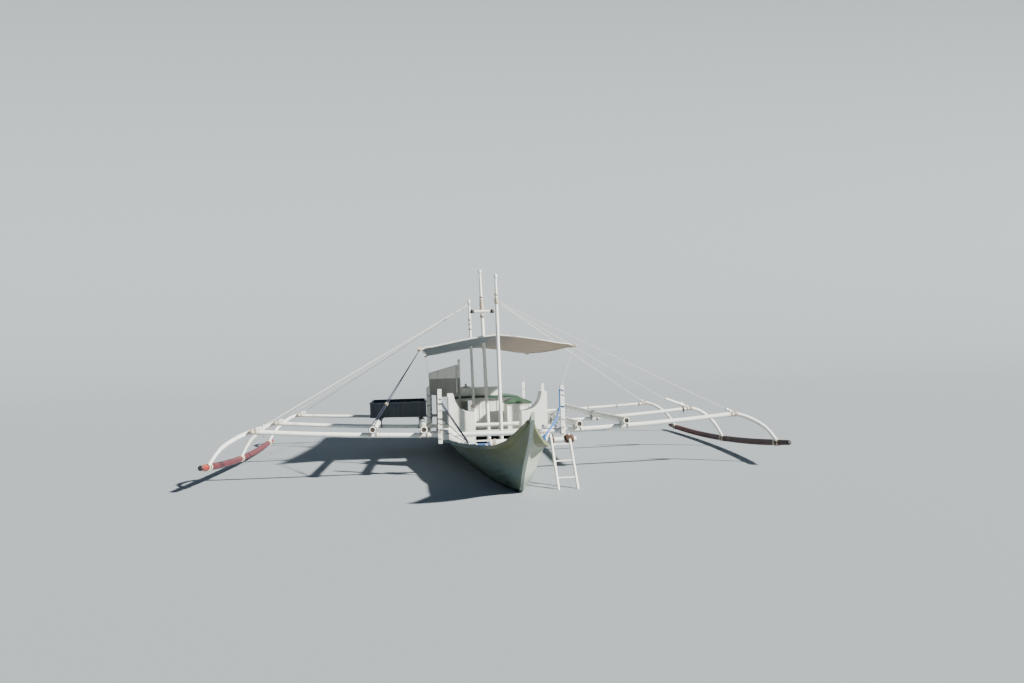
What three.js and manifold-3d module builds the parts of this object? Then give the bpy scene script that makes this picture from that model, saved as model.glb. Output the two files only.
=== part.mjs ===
// Outrigger canoe: a planked motor canoe with two floats on three crossbeams, afloat with its bow a little high.
// Millimetres. X runs to the bow, Y to port, Z up. The origin is amidships on the waterline.
// Every piece is drawn along the boat's own base line, and add() then turns it by TRIM about the origin.

import * as THREE from 'three';
import { mergeVertices } from 'three/addons/utils/BufferGeometryUtils.js';
import Module from 'manifold-3d';

const wasm = await Module();
wasm.setup();

// Driving dimensions
const TRIM = THREE.MathUtils.degToRad(1.72);   // how far the bow rides up
const GAP = 0.3;              // air between two pieces that touch
const WIDE = 1500;            // reaches past the hull on every side
const WALL = 25;              // hull planking with its frames
const SHEER = 500;            // height of the hull's edge amidships

// A crossbeam bends up to its tips as a parabola
const BEAM = {
  tipY: 4330, spans: 10, sides: 16,
  places: {
    front: { x: 2290, radius: 42, low: 630, rise: 190 },
    middle: { x: 0, radius: 38, low: 630, rise: 190 },
    rear: { x: -3180, radius: 35, low: 680, rise: 125 },
  },
};
const SEAT = { width: 60, board: 22, chock: 130, outside: 20 };
const FLOAT = {
  y: 4960, radius: 60, frontX: 2990, rearX: -3290, lowX: -800, lowZ: 150, rise: 1.2e-5,
  taperMiddle: -200, taperFrom: 2300, taperLength: 900, taper: 0.26, tipLength: 18, tipShare: 0.6, tipLift: 5,
  stations: 16, sides: 14,
};
const ARM = {
  radius: 40, footRadius: 27, standOff: 4, steps: 12, sides: 12, swellTo: 0.35, swellFrom: 0.6,
  level: 797, inboard: 30, outboard: 200, drop: 60, kneeShare: 0.45, kneeOut: 110, kneeUp: 20,
  feet: { front: 2580, middle: 100, rear: -2860 },
  // Inboard end of each arm: y, height over the arm's level at the crossbeam's tip
  stubs: {
    port: { front: [4150, 110], middle: [3770, 240], rear: [4180, 90] },
    starboard: { front: [4170, 85], middle: [4170, 85], rear: [4170, 85] },
  },
};
const POLE = {
  radius: 60, bore: 42, boreDepth: 60, frontX: 2480, rearX: -3380, sides: 16,
  y: { port: { outer: 2180, inner: 1320 }, starboard: { outer: 2280, inner: 1410 } },
};
const POST = {
  side: 70, top: 1430,
  y: { port: { front: 1045, middle: 1085, rear: 1150 }, starboard: { front: 1125, middle: 1270, rear: 1150 } },
};

const SOLE = { top: -100, thick: 20, rearX: -1250, frontX: 2380 };
const DECK = { top: 460, thick: 20, holeY: 500, holeRear: -2700, frontX: 1060, rearX: -4700 };
const BOW_PLATFORM = { top: 482, thick: 20, rearX: 2450, frontX: 4450 };
const BENCH = { rearX: 3430, frontX: 3570, halfWidth: 380 };
const FRAME = {
  rearX: 1080, frontX: 1480, thick: 30, lining: 18, outerY: 930, innerY: 440, topWidth: 95, top: 1330,
  shoulder: 960, sill: 150, hollowSteps: 8,
};

const HOUSE = {
  frontX: -1050, rearX: -2750, halfWidth: 650, wall: 18, top: 1152,
  frontWindow: [-590, -250, 850, 1100], sideWindow: [-2350, -1400, 800, 1060], rearDoor: [260, 520, 1090],
};
const ROOF = { overhang: 60, thick: 28, camber: 22 };
const ROOF_BOX = { rearX: -1620, frontX: -1060, starboardY: -700, portY: 310, height: 150, wall: 15, lid: 32 };
const VENT = { y: -400, x: -1340, discRadius: 105, discHeight: 26, stemRadius: 26, stemHeight: 84 };
const LOCKER = {
  rearX: -850, frontX: -250, innerY: 380, outerY: 880, top: 1040, wall: 15,
  eave: 30, roof: 150, lidEdge: 24, ridge: 8,
};
const SCREEN = {
  x: -880, innerY: -570, outerY: -1060, edgeY: -1210, low: 1250, top: 1720, crown: 1880, postTop: 1970,
  postRadius: 26, legRadius: 20, legReach: 120, rail: 44, thick: 18, sides: 12,
};
const TRAY = { rearX: -1700, frontX: -110, innerY: -1310, outerY: -2450, height: 310, wall: 18 };

const MASTS = [
  // name, x, y at the foot, y at the head, top, radius at the foot
  ['front', 1900, 0, -30, 3500, 37],
  ['middle', -350, 0, -110, 3880, 42],
  ['aft', -950, -240, -310, 3310, 36],
];
const MAST = {
  shoulder: 0.75, shoulderShare: 0.86, neckShare: 0.55, knobShare: 0.8, knobHeight: 60, knobEase: 12, sides: 14,
};
const CROSSARM = {
  z: 3000, ahead: 40, halfLength: 235, radius: 27, lampRadius: 42, lampHeight: 80, lampInset: 20,
};
const CANOPY = {
  frontX: 1700, rearX: -3000, frontHalf: 1440, rearHalf: 1250, frontEdge: 2170, rearEdge: 2150,
  frontRidge: 2400, rearRidge: 2330, sideSag: 60, waist: 70, thick: 12, rows: 8, columns: 10, crown: 1.35,
};
const STAY = {
  radius: 5, sides: 8, reach: 0.3,
  // name, mast, height at the mast, crossbeam, side
  runs: [
    ['port_front', 0, 3010, 'front', 'port'], ['port_rear', 0, 3010, 'rear', 'port'],
    ['starboard_front', 2, 3210, 'front', 'starboard'], ['starboard_rear', 2, 3210, 'rear', 'starboard'],
  ],
};

const LADDER = {
  barX: 3500, barRadius: 40, barStarboardY: -380, barPortY: 1030,
  railY: [608, 912], railRadius: 22, rungRadius: 13, above: 60, below: 1090, lean: 36,
  firstRung: 125, rungStep: 300, rungs: 4, collar: 54, collarWidth: 40, play: 0.6, sides: 24,
};

const ENGINE = { rearX: -2450, frontX: -1620, halfWidth: 270, low: -270, top: 380 };
const SHAFT = {
  start: [-2450, -120], end: [-4400, -320], radius: 17, hole: 20, holeFront: -3000, holeRear: -4300, standOff: 2.2,
};
const PROPELLER = {
  x: -4340, hubRadius: 30, hubLength: 100, capLength: 30, capShare: 0.4, blades: 3, bladeHalf: 4,
  // Sections of a blade: distance from the axis, half chord, pitch in degrees
  sections: [[20, 26, 60], [60, 42, 45], [100, 44, 35], [130, 16, 28]],
};
const RUDDER = {
  x: -4860, stockRadius: 20, stockTop: 860, bladeAft: 300, bladeTop: 60, bladeLow: -430, thick: 28,
  play: 1.5, ringRadius: 40, rings: [260, 600], ringHeight: 40, collarRadius: 34, collarHeight: 40,
};
const TILLER = {
  length: 900, behind: 70, z: 815, low: 8, high: 60, gripRadius: [30, 15],
  forkX: [-45, 60], forkHalf: 34, forkRise: 30,
};

// Hull stations: x, half width of the edge, half width of the bilge, keel height, edge height, flare's hollow
const STATIONS = [
  [-4750, 380, 225, -10, 690, 2.2],
  [-4300, 550, 320, -135, 610, 2.2],
  [-3700, 740, 427, -265, 530, 2.2],
  [-3180, 850, 486, -330, SHEER, 2.2],
  [-2400, 960, 540, -365, SHEER, 2.2],
  [-1400, 1040, 582, -380, SHEER, 2.2],
  [0, 1075, 598, -385, SHEER, 2.2],
  [1400, 1000, 635, -385, SHEER, 2.5],
  [2290, 810, 550, -378, SHEER, 3],
  [2430, 785, 535, -374, SHEER, 3.2],
  [2700, 740, 508, -365, 515, 3.6],
  [3150, 640, 456, -335, 535, 4.4],
  [3600, 505, 400, -270, 555, 5.2],
  [4100, 435, 240, -150, 596, 6],
  [4300, 405, 160, -11, 614, 6],
  [4500, 360, 105, 194, 638, 5.5],
  [4750, 255, 70, 398, 710, 4.5],
  [5000, 145, 45, 558, 850, 3.5],
  [5250, 60, 32, 739, 975, 3],
  [5400, 30, 25, 873, 1050, 2],
  [5600, 18, 14, 1083, 1150, 2],
];
const SECTION = { steps: 10, bilge: 2.6, crowding: 0.35, footShare: 0.8, deepest: -10 };
const KEEL = {
  half: 26, side: 24, depth: 70, frontX: 4000, rearX: -3800, skegX: -4120, skegLow: -440, lap: 12, stemLap: 8,
  stemProud: 26, stemAhead: 21, headRise: 14,
};
const RAIL = { width: 40, height: 55, frontX: 5500, bite: 10, taperShare: 0.5, taperEdge: 700 };

const SIDES = [['port', 1], ['starboard', -1]];

// Colours
const PAINT = {
  white: [0xe8e3d6, 0.5, 0], blue: [0x7fb4d6, 0.5, 0], green: [0x2f7d5b, 0.5, 0],
  red: [0xb8323a, 0.4, 0], maroon: [0x5a2026, 0.45, 0], dark: [0x2a2c2e, 0.6, 0], tarp: [0xe9e0bd, 0.7, 0],
  timber: [0x9a7a54, 0.75, 0], iron: [0x55575a, 0.5, 0.6], bronze: [0xa47b3c, 0.35, 0.9], rope: [0xdedad0, 0.8, 0],
};

const group = new THREE.Group();

function add(name, geometry, paint) {
  const [color, roughness, metalness] = PAINT[paint];
  const material = new THREE.MeshStandardMaterial({ color, roughness, metalness });
  const mesh = new THREE.Mesh(geometry.rotateY(-TRIM), material);
  mesh.name = name;
  group.add(mesh);
}

// A closed solid for joining and cutting
function solid(geometry) {
  const bare = new THREE.BufferGeometry();
  bare.setAttribute('position', geometry.getAttribute('position').clone());
  if (geometry.index) bare.setIndex(geometry.index.clone());
  const merged = mergeVertices(bare, 1e-3);
  return new wasm.Manifold(new wasm.Mesh({
    numProp: 3,
    vertProperties: new Float32Array(merged.getAttribute('position').array),
    triVerts: new Uint32Array(merged.index.array),
  }));
}

function geometryOf(body) {
  const mesh = body.getMesh();
  const geometry = new THREE.BufferGeometry();
  geometry.setAttribute('position', new THREE.BufferAttribute(new Float32Array(mesh.vertProperties), 3));
  geometry.setIndex(new THREE.BufferAttribute(new Uint32Array(mesh.triVerts), 1));
  geometry.computeVertexNormals();
  return geometry;
}

function joined(...geometries) {
  return geometries.map(solid).reduce((sum, body) => sum.add(body));
}

// Skin over a row of closed rings with the same number of points, with both ends capped and faces outward
function loft(rings) {
  const count = rings[0].length;
  const position = rings.flat().flatMap((p) => [p.x, p.y, p.z]);
  const index = [];
  for (let i = 0; i + 1 < rings.length; i += 1) {
    for (let j = 0; j < count; j += 1) {
      const a = i * count + j;
      const b = i * count + (j + 1) % count;
      index.push(a, b, a + count, b, b + count, a + count);
    }
  }
  const lastRing = (rings.length - 1) * count;
  for (let j = 1; j + 1 < count; j += 1) {
    index.push(0, j + 1, j, lastRing, lastRing + j, lastRing + j + 1);
  }
  let volume = 0;
  for (let k = 0; k < index.length; k += 3) {
    const corners = index.slice(k, k + 3).map((n) => new THREE.Vector3(...position.slice(3 * n, 3 * n + 3)));
    volume += corners[0].dot(corners[1].cross(corners[2]));
  }
  if (volume < 0) index.reverse();
  const geometry = new THREE.BufferGeometry();
  geometry.setAttribute('position', new THREE.Float32BufferAttribute(position, 3));
  geometry.setIndex(index);
  geometry.computeVertexNormals();
  return geometry;
}

// Round bar along a list of points, each with its own radius; sides stay square to the path
function bar(points, radii, sides = 12) {
  const path = points.map((p) => (p.isVector3 ? p : new THREE.Vector3(...p)));
  const rings = path.map((p, i) => {
    const before = path[Math.max(i - 1, 0)];
    const after = path[Math.min(i + 1, path.length - 1)];
    const along = after.clone().sub(before).normalize();
    const seed = Math.abs(along.x) > 0.9 ? new THREE.Vector3(0, 1, 0) : new THREE.Vector3(1, 0, 0);
    const u = seed.clone().sub(along.clone().multiplyScalar(seed.dot(along))).normalize();
    const v = along.clone().cross(u);
    return Array.from({ length: sides }, (_, k) => {
      const turn = (2 * Math.PI * k) / sides;
      const [across, over] = [radii[i] * Math.cos(turn), radii[i] * Math.sin(turn)];
      return p.clone().addScaledVector(u, across).addScaledVector(v, over);
    });
  });
  return loft(rings);
}

function block(x0, x1, y0, y1, z0, z1) {
  return new THREE.BoxGeometry(x1 - x0, y1 - y0, z1 - z0).translate((x0 + x1) / 2, (y0 + y1) / 2, (z0 + z1) / 2);
}

// Plate square to X: an outline of [y, z] points, from x0 to x0 + thick
function plateAcross(outline, x0, thick) {
  const shape = new THREE.Shape(outline.map(([y, z]) => new THREE.Vector2(y, z)));
  const geometry = new THREE.ExtrudeGeometry(shape, { depth: thick, bevelEnabled: false });
  return geometry.applyMatrix4(new THREE.Matrix4().set(0, 0, 1, x0, 1, 0, 0, 0, 0, 1, 0, 0, 0, 0, 0, 1));
}

// Plate square to Y: an outline of [x, z] points, centred on y
function plateAlong(outline, y, thick) {
  const shape = new THREE.Shape(outline.map(([x, z]) => new THREE.Vector2(x, z)));
  const geometry = new THREE.ExtrudeGeometry(shape, { depth: thick, bevelEnabled: false });
  return geometry.rotateX(Math.PI / 2).translate(0, y + thick / 2, 0);
}

function upright(profile, x, y, z, sides = 16) {
  const shape = profile.map(([r, h]) => new THREE.Vector2(r, h));
  return new THREE.LatheGeometry(shape, sides).rotateX(Math.PI / 2).translate(x, y, z);
}

// Half section of the hull at a station: a round bilge out from the keel, then a flare that opens to the edge
function halfSection([x, edge, bilge, keel, sheer, flare], grow) {
  const { steps, crowding } = SECTION;
  const foot = Math.min(KEEL.half, SECTION.footShare * edge);
  const points = Array.from({ length: steps + 1 }, (_, i) => {
    const u = i / steps;
    const s = u * (1 + crowding - crowding * u * u);
    const round = 1 - (1 - s) ** SECTION.bilge;
    const y = foot + (bilge - foot) * round + (edge - bilge) * s ** flare;
    return new THREE.Vector2(y, keel + s * (sheer - keel));
  });
  return points.map((p, i) => {
    const tangent = points[Math.min(i + 1, steps)].clone().sub(points[Math.max(i - 1, 0)]).normalize();
    if (i === 0) return new THREE.Vector3(x, p.x + Math.max(grow, SECTION.deepest), p.y - grow);
    if (i === steps) return new THREE.Vector3(x, p.x + grow, p.y);
    return new THREE.Vector3(x, p.x + tangent.y * grow, p.y - tangent.x * grow);
  });
}

// Half width of the hull's outer face at a station and height
function skinAt(station, z) {
  const half = halfSection(station, 0);
  const above = half.findIndex((p) => p.z >= z);
  const [a, b] = [half[above - 1], half[above]];
  return a.y + (b.y - a.y) * (z - a.z) / (b.z - a.z);
}

// Filled form of the hull, grown outward or, below zero, shrunk; lift carries its top straight up
function hullForm(grow, lift = 0, rearX = -Infinity, frontX = Infinity) {
  const inside = STATIONS.filter(([x]) => x > rearX && x < frontX);
  const limits = [rearX, frontX].filter((x) => Number.isFinite(x)).map(stationAt);
  const stations = [...inside, ...limits].sort((a, b) => a[0] - b[0]);
  const last = stations.length - 1;
  return loft(stations.map((station, i) => {
    const half = halfSection(station, grow);
    if (i === 0 || i === last) half.forEach((p) => p.setX(p.x + (i ? 1 : -1) * Math.max(grow, 0)));
    if (lift) half.push(half.at(-1).clone().setZ(half.at(-1).z + lift));
    const other = half.map((p) => new THREE.Vector3(p.x, -p.y, p.z)).reverse();
    return [...half, ...other];
  }));
}

function stationAt(x) {
  const after = STATIONS.findIndex(([place]) => place >= x);
  const [a, b] = [STATIONS[after - 1], STATIONS[after]];
  const share = (x - a[0]) / (b[0] - a[0]);
  return a.map((value, i) => value + share * (b[i] - value));
}

const CAVITY_REAR = STATIONS[0][0] + WALL;
const CAVITY_FRONT = 4950;
const room = solid(hullForm(-WALL, WIDE, CAVITY_REAR, CAVITY_FRONT));
const snugRoom = solid(hullForm(-WALL - GAP, WIDE, CAVITY_REAR + GAP, CAVITY_FRONT - GAP));
const grownHull = solid(hullForm(GAP, GAP));

// Propeller shaft line
const shaftStart = new THREE.Vector3(SHAFT.start[0], 0, SHAFT.start[1]);
const shaftEnd = new THREE.Vector3(SHAFT.end[0], 0, SHAFT.end[1]);
const shaftLine = shaftEnd.clone().sub(shaftStart).normalize();
const onShaft = (x) => shaftStart.clone().addScaledVector(shaftLine, (x - shaftStart.x) / shaftLine.x);
const shaftHole = solid(bar([onShaft(SHAFT.holeFront), onShaft(SHAFT.holeRear)], [SHAFT.hole, SHAFT.hole], 16));

// Hull shell, keel with stem and skeg, rails
function buildHull() {
  add('hull', geometryOf(solid(hullForm(0)).subtract(room).subtract(shaftHole)), 'white');

  const k = KEEL;
  const low = STATIONS.filter(([x]) => x > k.rearX && x < k.frontX);
  const bottom = low.map(([x, , , keel]) => [x, keel - k.depth]);
  const ahead = STATIONS.filter(([x]) => x > k.frontX);
  const stem = ahead.map(([x, , , keel]) => [x + k.stemAhead, keel - k.stemProud]);
  const [tipX, , , , tipZ] = STATIONS.at(-1);
  const head = [[tipX + k.stemProud, tipZ + k.headRise], [tipX - k.lap, tipZ + k.headRise]];
  const above = STATIONS.filter(([x]) => x > k.skegX).reverse();
  const inside = above.map(([x, , , keel]) => [x - k.stemLap, keel + k.lap]);
  const skeg = [[k.skegX, stationAt(k.skegX)[3] + k.lap], [k.skegX, k.skegLow]];
  const plate = solid(plateAlong([...bottom, ...stem, ...head, ...inside, ...skeg], 0, 2 * k.side));
  add('keel', geometryOf(plate.subtract(grownHull).subtract(shaftHole)), 'white');

  for (const [side, sign] of SIDES) {
    const rings = STATIONS.filter(([x]) => x < RAIL.frontX).map((station) => {
      const [x, edge, , , sheer] = station;
      const under = sheer - RAIL.height;
      const outer = edge + RAIL.width * Math.min(1, RAIL.taperShare + edge / RAIL.taperEdge);
      const [upIn, lowIn] = [edge - RAIL.bite, skinAt(station, under) - RAIL.bite];
      const outline = [[upIn, sheer], [outer, sheer], [outer, under], [lowIn, under]];
      return outline.map(([y, z]) => new THREE.Vector3(x, sign * y, z));
    });
    add(`gunwale_${side}`, geometryOf(solid(loft(rings)).subtract(grownHull)), 'green');
  }
}

// Height of the ladder's bar, which lies on the port rail
function ladderBarHeight() {
  return stationAt(LADDER.barX)[4] + 2 * GAP + LADDER.barRadius;
}

// Inside: sole, deck with its cockpit, bow platform, the plank that carries the ladder's bar
function buildInside() {
  const sole = solid(block(SOLE.rearX, SOLE.frontX, -WIDE, WIDE, SOLE.top - SOLE.thick, SOLE.top));
  add('sole', geometryOf(sole.intersect(snugRoom)), 'timber');

  const slab = solid(block(DECK.rearX, DECK.frontX, -WIDE, WIDE, DECK.top - DECK.thick, DECK.top));
  const well = solid(block(DECK.holeRear, DECK.frontX + WALL, -DECK.holeY, DECK.holeY, 0, 2 * DECK.top));
  add('deck', geometryOf(slab.intersect(snugRoom).subtract(well)), 'white');

  const { top, thick, rearX, frontX } = BOW_PLATFORM;
  const floor = solid(block(rearX, frontX, -WIDE, WIDE, top - thick, top));
  add('bow_platform', geometryOf(floor.intersect(snugRoom)), 'blue');
  const benchTop = ladderBarHeight() - LADDER.barRadius - GAP;
  const half = BENCH.halfWidth;
  add('bow_bench', block(BENCH.rearX, BENCH.frontX, -half, half, top + GAP, benchTop), 'white');
}

// Frame ahead of the cockpit: two boards with a wing on each side, and a lining between them along the opening
function buildFrontFrame() {
  const f = FRAME;
  // A wing's inner outline: flat top, hollow curve down to the shoulder, straight inner edge
  const hollow = new THREE.QuadraticBezierCurve(
    new THREE.Vector2(f.outerY - f.topWidth, f.top),
    new THREE.Vector2(f.outerY - 1.37 * f.topWidth, f.shoulder + 20),
    new THREE.Vector2(f.innerY, f.shoulder),
  ).getPoints(f.hollowSteps).map((p) => [p.x, p.y]);
  const opening = [...hollow, [f.innerY, f.sill]];
  const mirror = (outline) => outline.map(([y, z]) => [-y, z]).reverse();
  const wing = [[f.outerY, f.top], ...opening];
  const outline = [[f.outerY, -WIDE], ...wing, ...mirror(wing), [-f.outerY, -WIDE]];
  const boards = [f.rearX, f.frontX - f.thick].map((x) => plateAcross(outline, x, f.thick));

  const behind = opening.map(([y, z]) => [y + f.lining, z - 0.75 * f.lining]).reverse();
  const strip = [...opening, ...behind];
  const depth = f.frontX - f.rearX - f.thick;
  const linings = [strip, mirror(strip)].map((path) => plateAcross(path, f.rearX + 0.5 * f.thick, depth));
  const soleRoom = solid(block(0, f.frontX + WIDE, -WIDE, WIDE, -WIDE, SOLE.top + GAP));
  add('front_frame', geometryOf(joined(...boards, ...linings).intersect(snugRoom).subtract(soleRoom)), 'white');
}

// Height of a crossbeam's middle line at y, along the straight spans between the points of the parabola
function beamHeight(place, y) {
  const { low, rise } = BEAM.places[place];
  const half = BEAM.spans / 2;
  const steps = (half * Math.abs(y)) / BEAM.tipY;
  const i = Math.floor(steps);
  return low + rise * (i * i + (steps - i) * (2 * i + 1)) / (half * half);
}

function floatHeight(x) {
  return FLOAT.lowZ + FLOAT.rise * (x - FLOAT.lowX) ** 2;
}

function crossbeam(place, grow) {
  const { tipY, spans, sides } = BEAM;
  const { x, radius } = BEAM.places[place];
  const ys = Array.from({ length: spans + 1 }, (_, i) => ((2 * i) / spans - 1) * (tipY + grow));
  return bar(ys.map((y) => [x, y, beamHeight(place, y)]), ys.map(() => radius + grow), sides);
}

// Seat of a crossbeam: a board across the hull's edges with a chock at each end, cut to the beam's round
function beamSeat(place) {
  const { x } = BEAM.places[place];
  const { width, board, chock, outside } = SEAT;
  const outer = stationAt(x)[1] + outside;
  const [rear, front] = [x - width / 2, x + width / 2];
  const low = Math.max(stationAt(rear)[4], stationAt(front)[4]) + GAP;
  const top = beamHeight(place, outer);
  const parts = [
    block(rear, front, -outer, outer, low, low + board),
    block(rear, front, outer - chock, outer, low, top),
    block(rear, front, -outer, chock - outer, low, top),
  ];
  return joined(...parts).subtract(solid(crossbeam(place, GAP)));
}

// Middle line of an arm: a stub above the crossbeam's tip, past its aft side, then down to the float
function armRoute(place, side, sign) {
  const a = ARM;
  const [stubY, stubZ] = a.stubs[side][place];
  const { x, radius } = BEAM.places[place];
  const besideX = x - radius - a.radius - a.standOff;
  const reachX = a.feet[place] - besideX;
  const footZ = floatHeight(a.feet[place]);
  const kneeY = a.kneeShare * BEAM.tipY + (1 - a.kneeShare) * FLOAT.y + a.kneeOut;
  return new THREE.CatmullRomCurve3([
    [besideX, stubY, a.level + stubZ],
    [besideX, BEAM.tipY - a.inboard, a.level + a.inboard],
    [besideX + 0.25 * reachX, BEAM.tipY + a.outboard, a.level - a.drop],
    [besideX + 0.65 * reachX, kneeY, 0.5 * (a.level + footZ) + a.kneeUp],
    [a.feet[place], FLOAT.y, footZ],
  ].map(([x, y, z]) => new THREE.Vector3(x, sign * y, z))).getPoints(ARM.steps);
}

// Arms swell from the stub to the knee and taper again to the foot
function armBar(place, side, sign, grow) {
  const points = armRoute(place, side, sign);
  const radii = points.map((_, i) => {
    const share = i / ARM.steps;
    const before = 1 - share / ARM.swellTo;
    const after = (share - ARM.swellFrom) / (1 - ARM.swellFrom);
    return ARM.radius - (ARM.radius - ARM.footRadius) * Math.max(0, before, after) + grow;
  });
  return bar(points, radii, ARM.sides);
}

// A float swells to its middle and has blunt rounded ends
function floatBar(sign, grow) {
  const f = FLOAT;
  const xs = Array.from({ length: f.stations + 1 }, (_, i) => f.rearX + (i / f.stations) * (f.frontX - f.rearX));
  const ends = [f.rearX, f.frontX];
  const past = (x) => Math.max(0, Math.abs(x - f.taperMiddle) - f.taperFrom) / f.taperLength;
  const radiusAt = (x) => f.radius * (1 - f.taper * past(x));
  const tip = (x, out) => [x + out * f.tipLength, sign * f.y, floatHeight(x) + f.tipLift];
  const points = [tip(ends[0], -1), ...xs.map((x) => [x, sign * f.y, floatHeight(x)]), tip(ends[1], 1)];
  const [rearTip, frontTip] = ends.map((x) => f.tipShare * radiusAt(x));
  return bar(points, [rearTip, ...xs.map(radiusAt), frontTip].map((r) => r + grow), f.sides);
}

// Three crossbeams on their seats, six curved arms, two floats
function buildOutriggers() {
  for (const place of Object.keys(BEAM.places)) {
    add(`crossbeam_${place}`, crossbeam(place, 0), 'white');
    add(`beam_seat_${place}`, geometryOf(beamSeat(place)), 'white');
  }

  for (const [side, sign] of SIDES) {
    add(`float_${side}`, floatBar(sign, 0), side === 'port' ? 'maroon' : 'red');
    const grownFloat = solid(floatBar(sign, GAP));
    for (const place of Object.keys(BEAM.places)) {
      const arm = solid(armBar(place, side, sign, 0)).subtract(grownFloat).subtract(solid(crossbeam(place, GAP)));
      add(`arm_${place}_${side}`, geometryOf(arm), 'white');
    }
  }
}

// Height of a pole's middle line over a crossbeam
function poleOver(place, y) {
  return beamHeight(place, y) + BEAM.places[place].radius + GAP + POLE.radius;
}

// Height of a pole's middle line at x: straight from one crossbeam to the next and on past the last ones
function poleHeight(x, y) {
  const [ahead, behind] = x > BEAM.places.middle.x ? ['front', 'middle'] : ['middle', 'rear'];
  const [x1, x0] = [BEAM.places[ahead].x, BEAM.places[behind].x];
  const [z1, z0] = [poleOver(ahead, y), poleOver(behind, y)];
  return z0 + (z1 - z0) * (x - x0) / (x1 - x0);
}

// Hollow-ended poles that lie along the crossbeams, and the posts lashed ahead of each crossbeam
function buildPolesAndPosts() {
  const p = POLE;
  for (const [side, sign] of SIDES) {
    for (const [place, y] of Object.entries(p.y[side])) {
      const piece = (x0, x1, radius) => {
        const xs = [x0, BEAM.places.middle.x, x1].filter((x) => x >= x0 && x <= x1);
        return solid(bar(xs.map((x) => [x, sign * y, poleHeight(x, y)]), xs.map(() => radius), p.sides));
      };
      const bores = [piece(p.rearX - p.boreDepth, p.rearX + p.boreDepth, p.bore),
        piece(p.frontX - p.boreDepth, p.frontX + p.boreDepth, p.bore)];
      const pole = bores.reduce((body, bore) => body.subtract(bore), piece(p.rearX, p.frontX, p.radius));
      add(`pole_${place}_${side}`, geometryOf(pole), 'white');
    }
    for (const [place, beam] of Object.entries(BEAM.places)) {
      const x0 = beam.x + beam.radius + GAP;
      const y = sign * POST.y[side][place];
      const half = POST.side / 2;
      add(`post_${place}_${side}`, block(x0, x0 + POST.side, y - half, y + half, SHEER + GAP, POST.top), 'white');
    }
  }
}

// Engine house with its windows, the flat roof, a lidded box and a vent on it
function buildHouse() {
  const floor = DECK.top + GAP;
  const w = HOUSE.halfWidth;
  const shell = solid(block(HOUSE.rearX, HOUSE.frontX, -w, w, floor, HOUSE.top));
  const inW = w - HOUSE.wall;
  const inner = solid(block(HOUSE.rearX + HOUSE.wall, HOUSE.frontX - HOUSE.wall, -inW, inW, 0, WIDE));
  const [frontY0, frontY1, frontLow, frontTop] = HOUSE.frontWindow;
  const [sideX0, sideX1, sideLow, sideTop] = HOUSE.sideWindow;
  const [doorHalf, doorLow, doorTop] = HOUSE.rearDoor;
  const through = 2 * HOUSE.wall;
  const windows = [
    block(HOUSE.frontX - through, HOUSE.frontX + through, frontY0, frontY1, frontLow, frontTop),
    block(sideX0, sideX1, -w - through, -w + through, sideLow, sideTop),
    block(sideX0, sideX1, w - through, w + through, sideLow, sideTop),
    block(HOUSE.rearX - through, HOUSE.rearX + through, -doorHalf, doorHalf, doorLow, doorTop),
  ];
  const walls = windows.map(solid).reduce((body, cut) => body.subtract(cut), shell.subtract(inner));
  add('engine_house', geometryOf(walls), 'white');

  const edge = w + ROOF.overhang;
  const low = HOUSE.top + GAP;
  const rise = (y) => ROOF.camber * (1 - (y / edge) ** 2);
  const ys = [-1, -0.6, -0.2, 0.2, 0.6, 1].map((s) => s * edge);
  const outline = [[-edge, low], ...ys.map((y) => [y, low + ROOF.thick + rise(y)]), [edge, low]];
  const roof = plateAcross(outline, HOUSE.rearX - ROOF.overhang, HOUSE.frontX - HOUSE.rearX + 2 * ROOF.overhang);
  add('engine_house_roof', roof, 'green');

  const base = low + ROOF.thick + rise(0.2 * edge) + GAP;
  const b = ROOF_BOX;
  const body = solid(block(b.rearX, b.frontX, b.starboardY, b.portY, base, base + b.height));
  const hollow = solid(block(b.rearX + b.wall, b.frontX - b.wall, b.starboardY + b.wall, b.portY - b.wall,
    base + b.wall, base + b.height + b.wall));
  add('roof_box', geometryOf(body.subtract(hollow)), 'white');
  const lidLow = base + b.height + GAP;
  add('roof_box_lid', block(b.rearX, b.frontX, b.starboardY, b.portY, lidLow, lidLow + b.lid), 'white');
  const v = VENT;
  add('roof_vent', upright([
    [0, 0], [v.discRadius, 0], [v.discRadius, v.discHeight - 8], [v.stemRadius, v.discHeight + 6],
    [v.stemRadius, v.stemHeight - 6], [0.6 * v.stemRadius, v.stemHeight], [0, v.stemHeight],
  ], v.x, v.y, lidLow + b.lid + GAP, 20), 'white');
}

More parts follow.
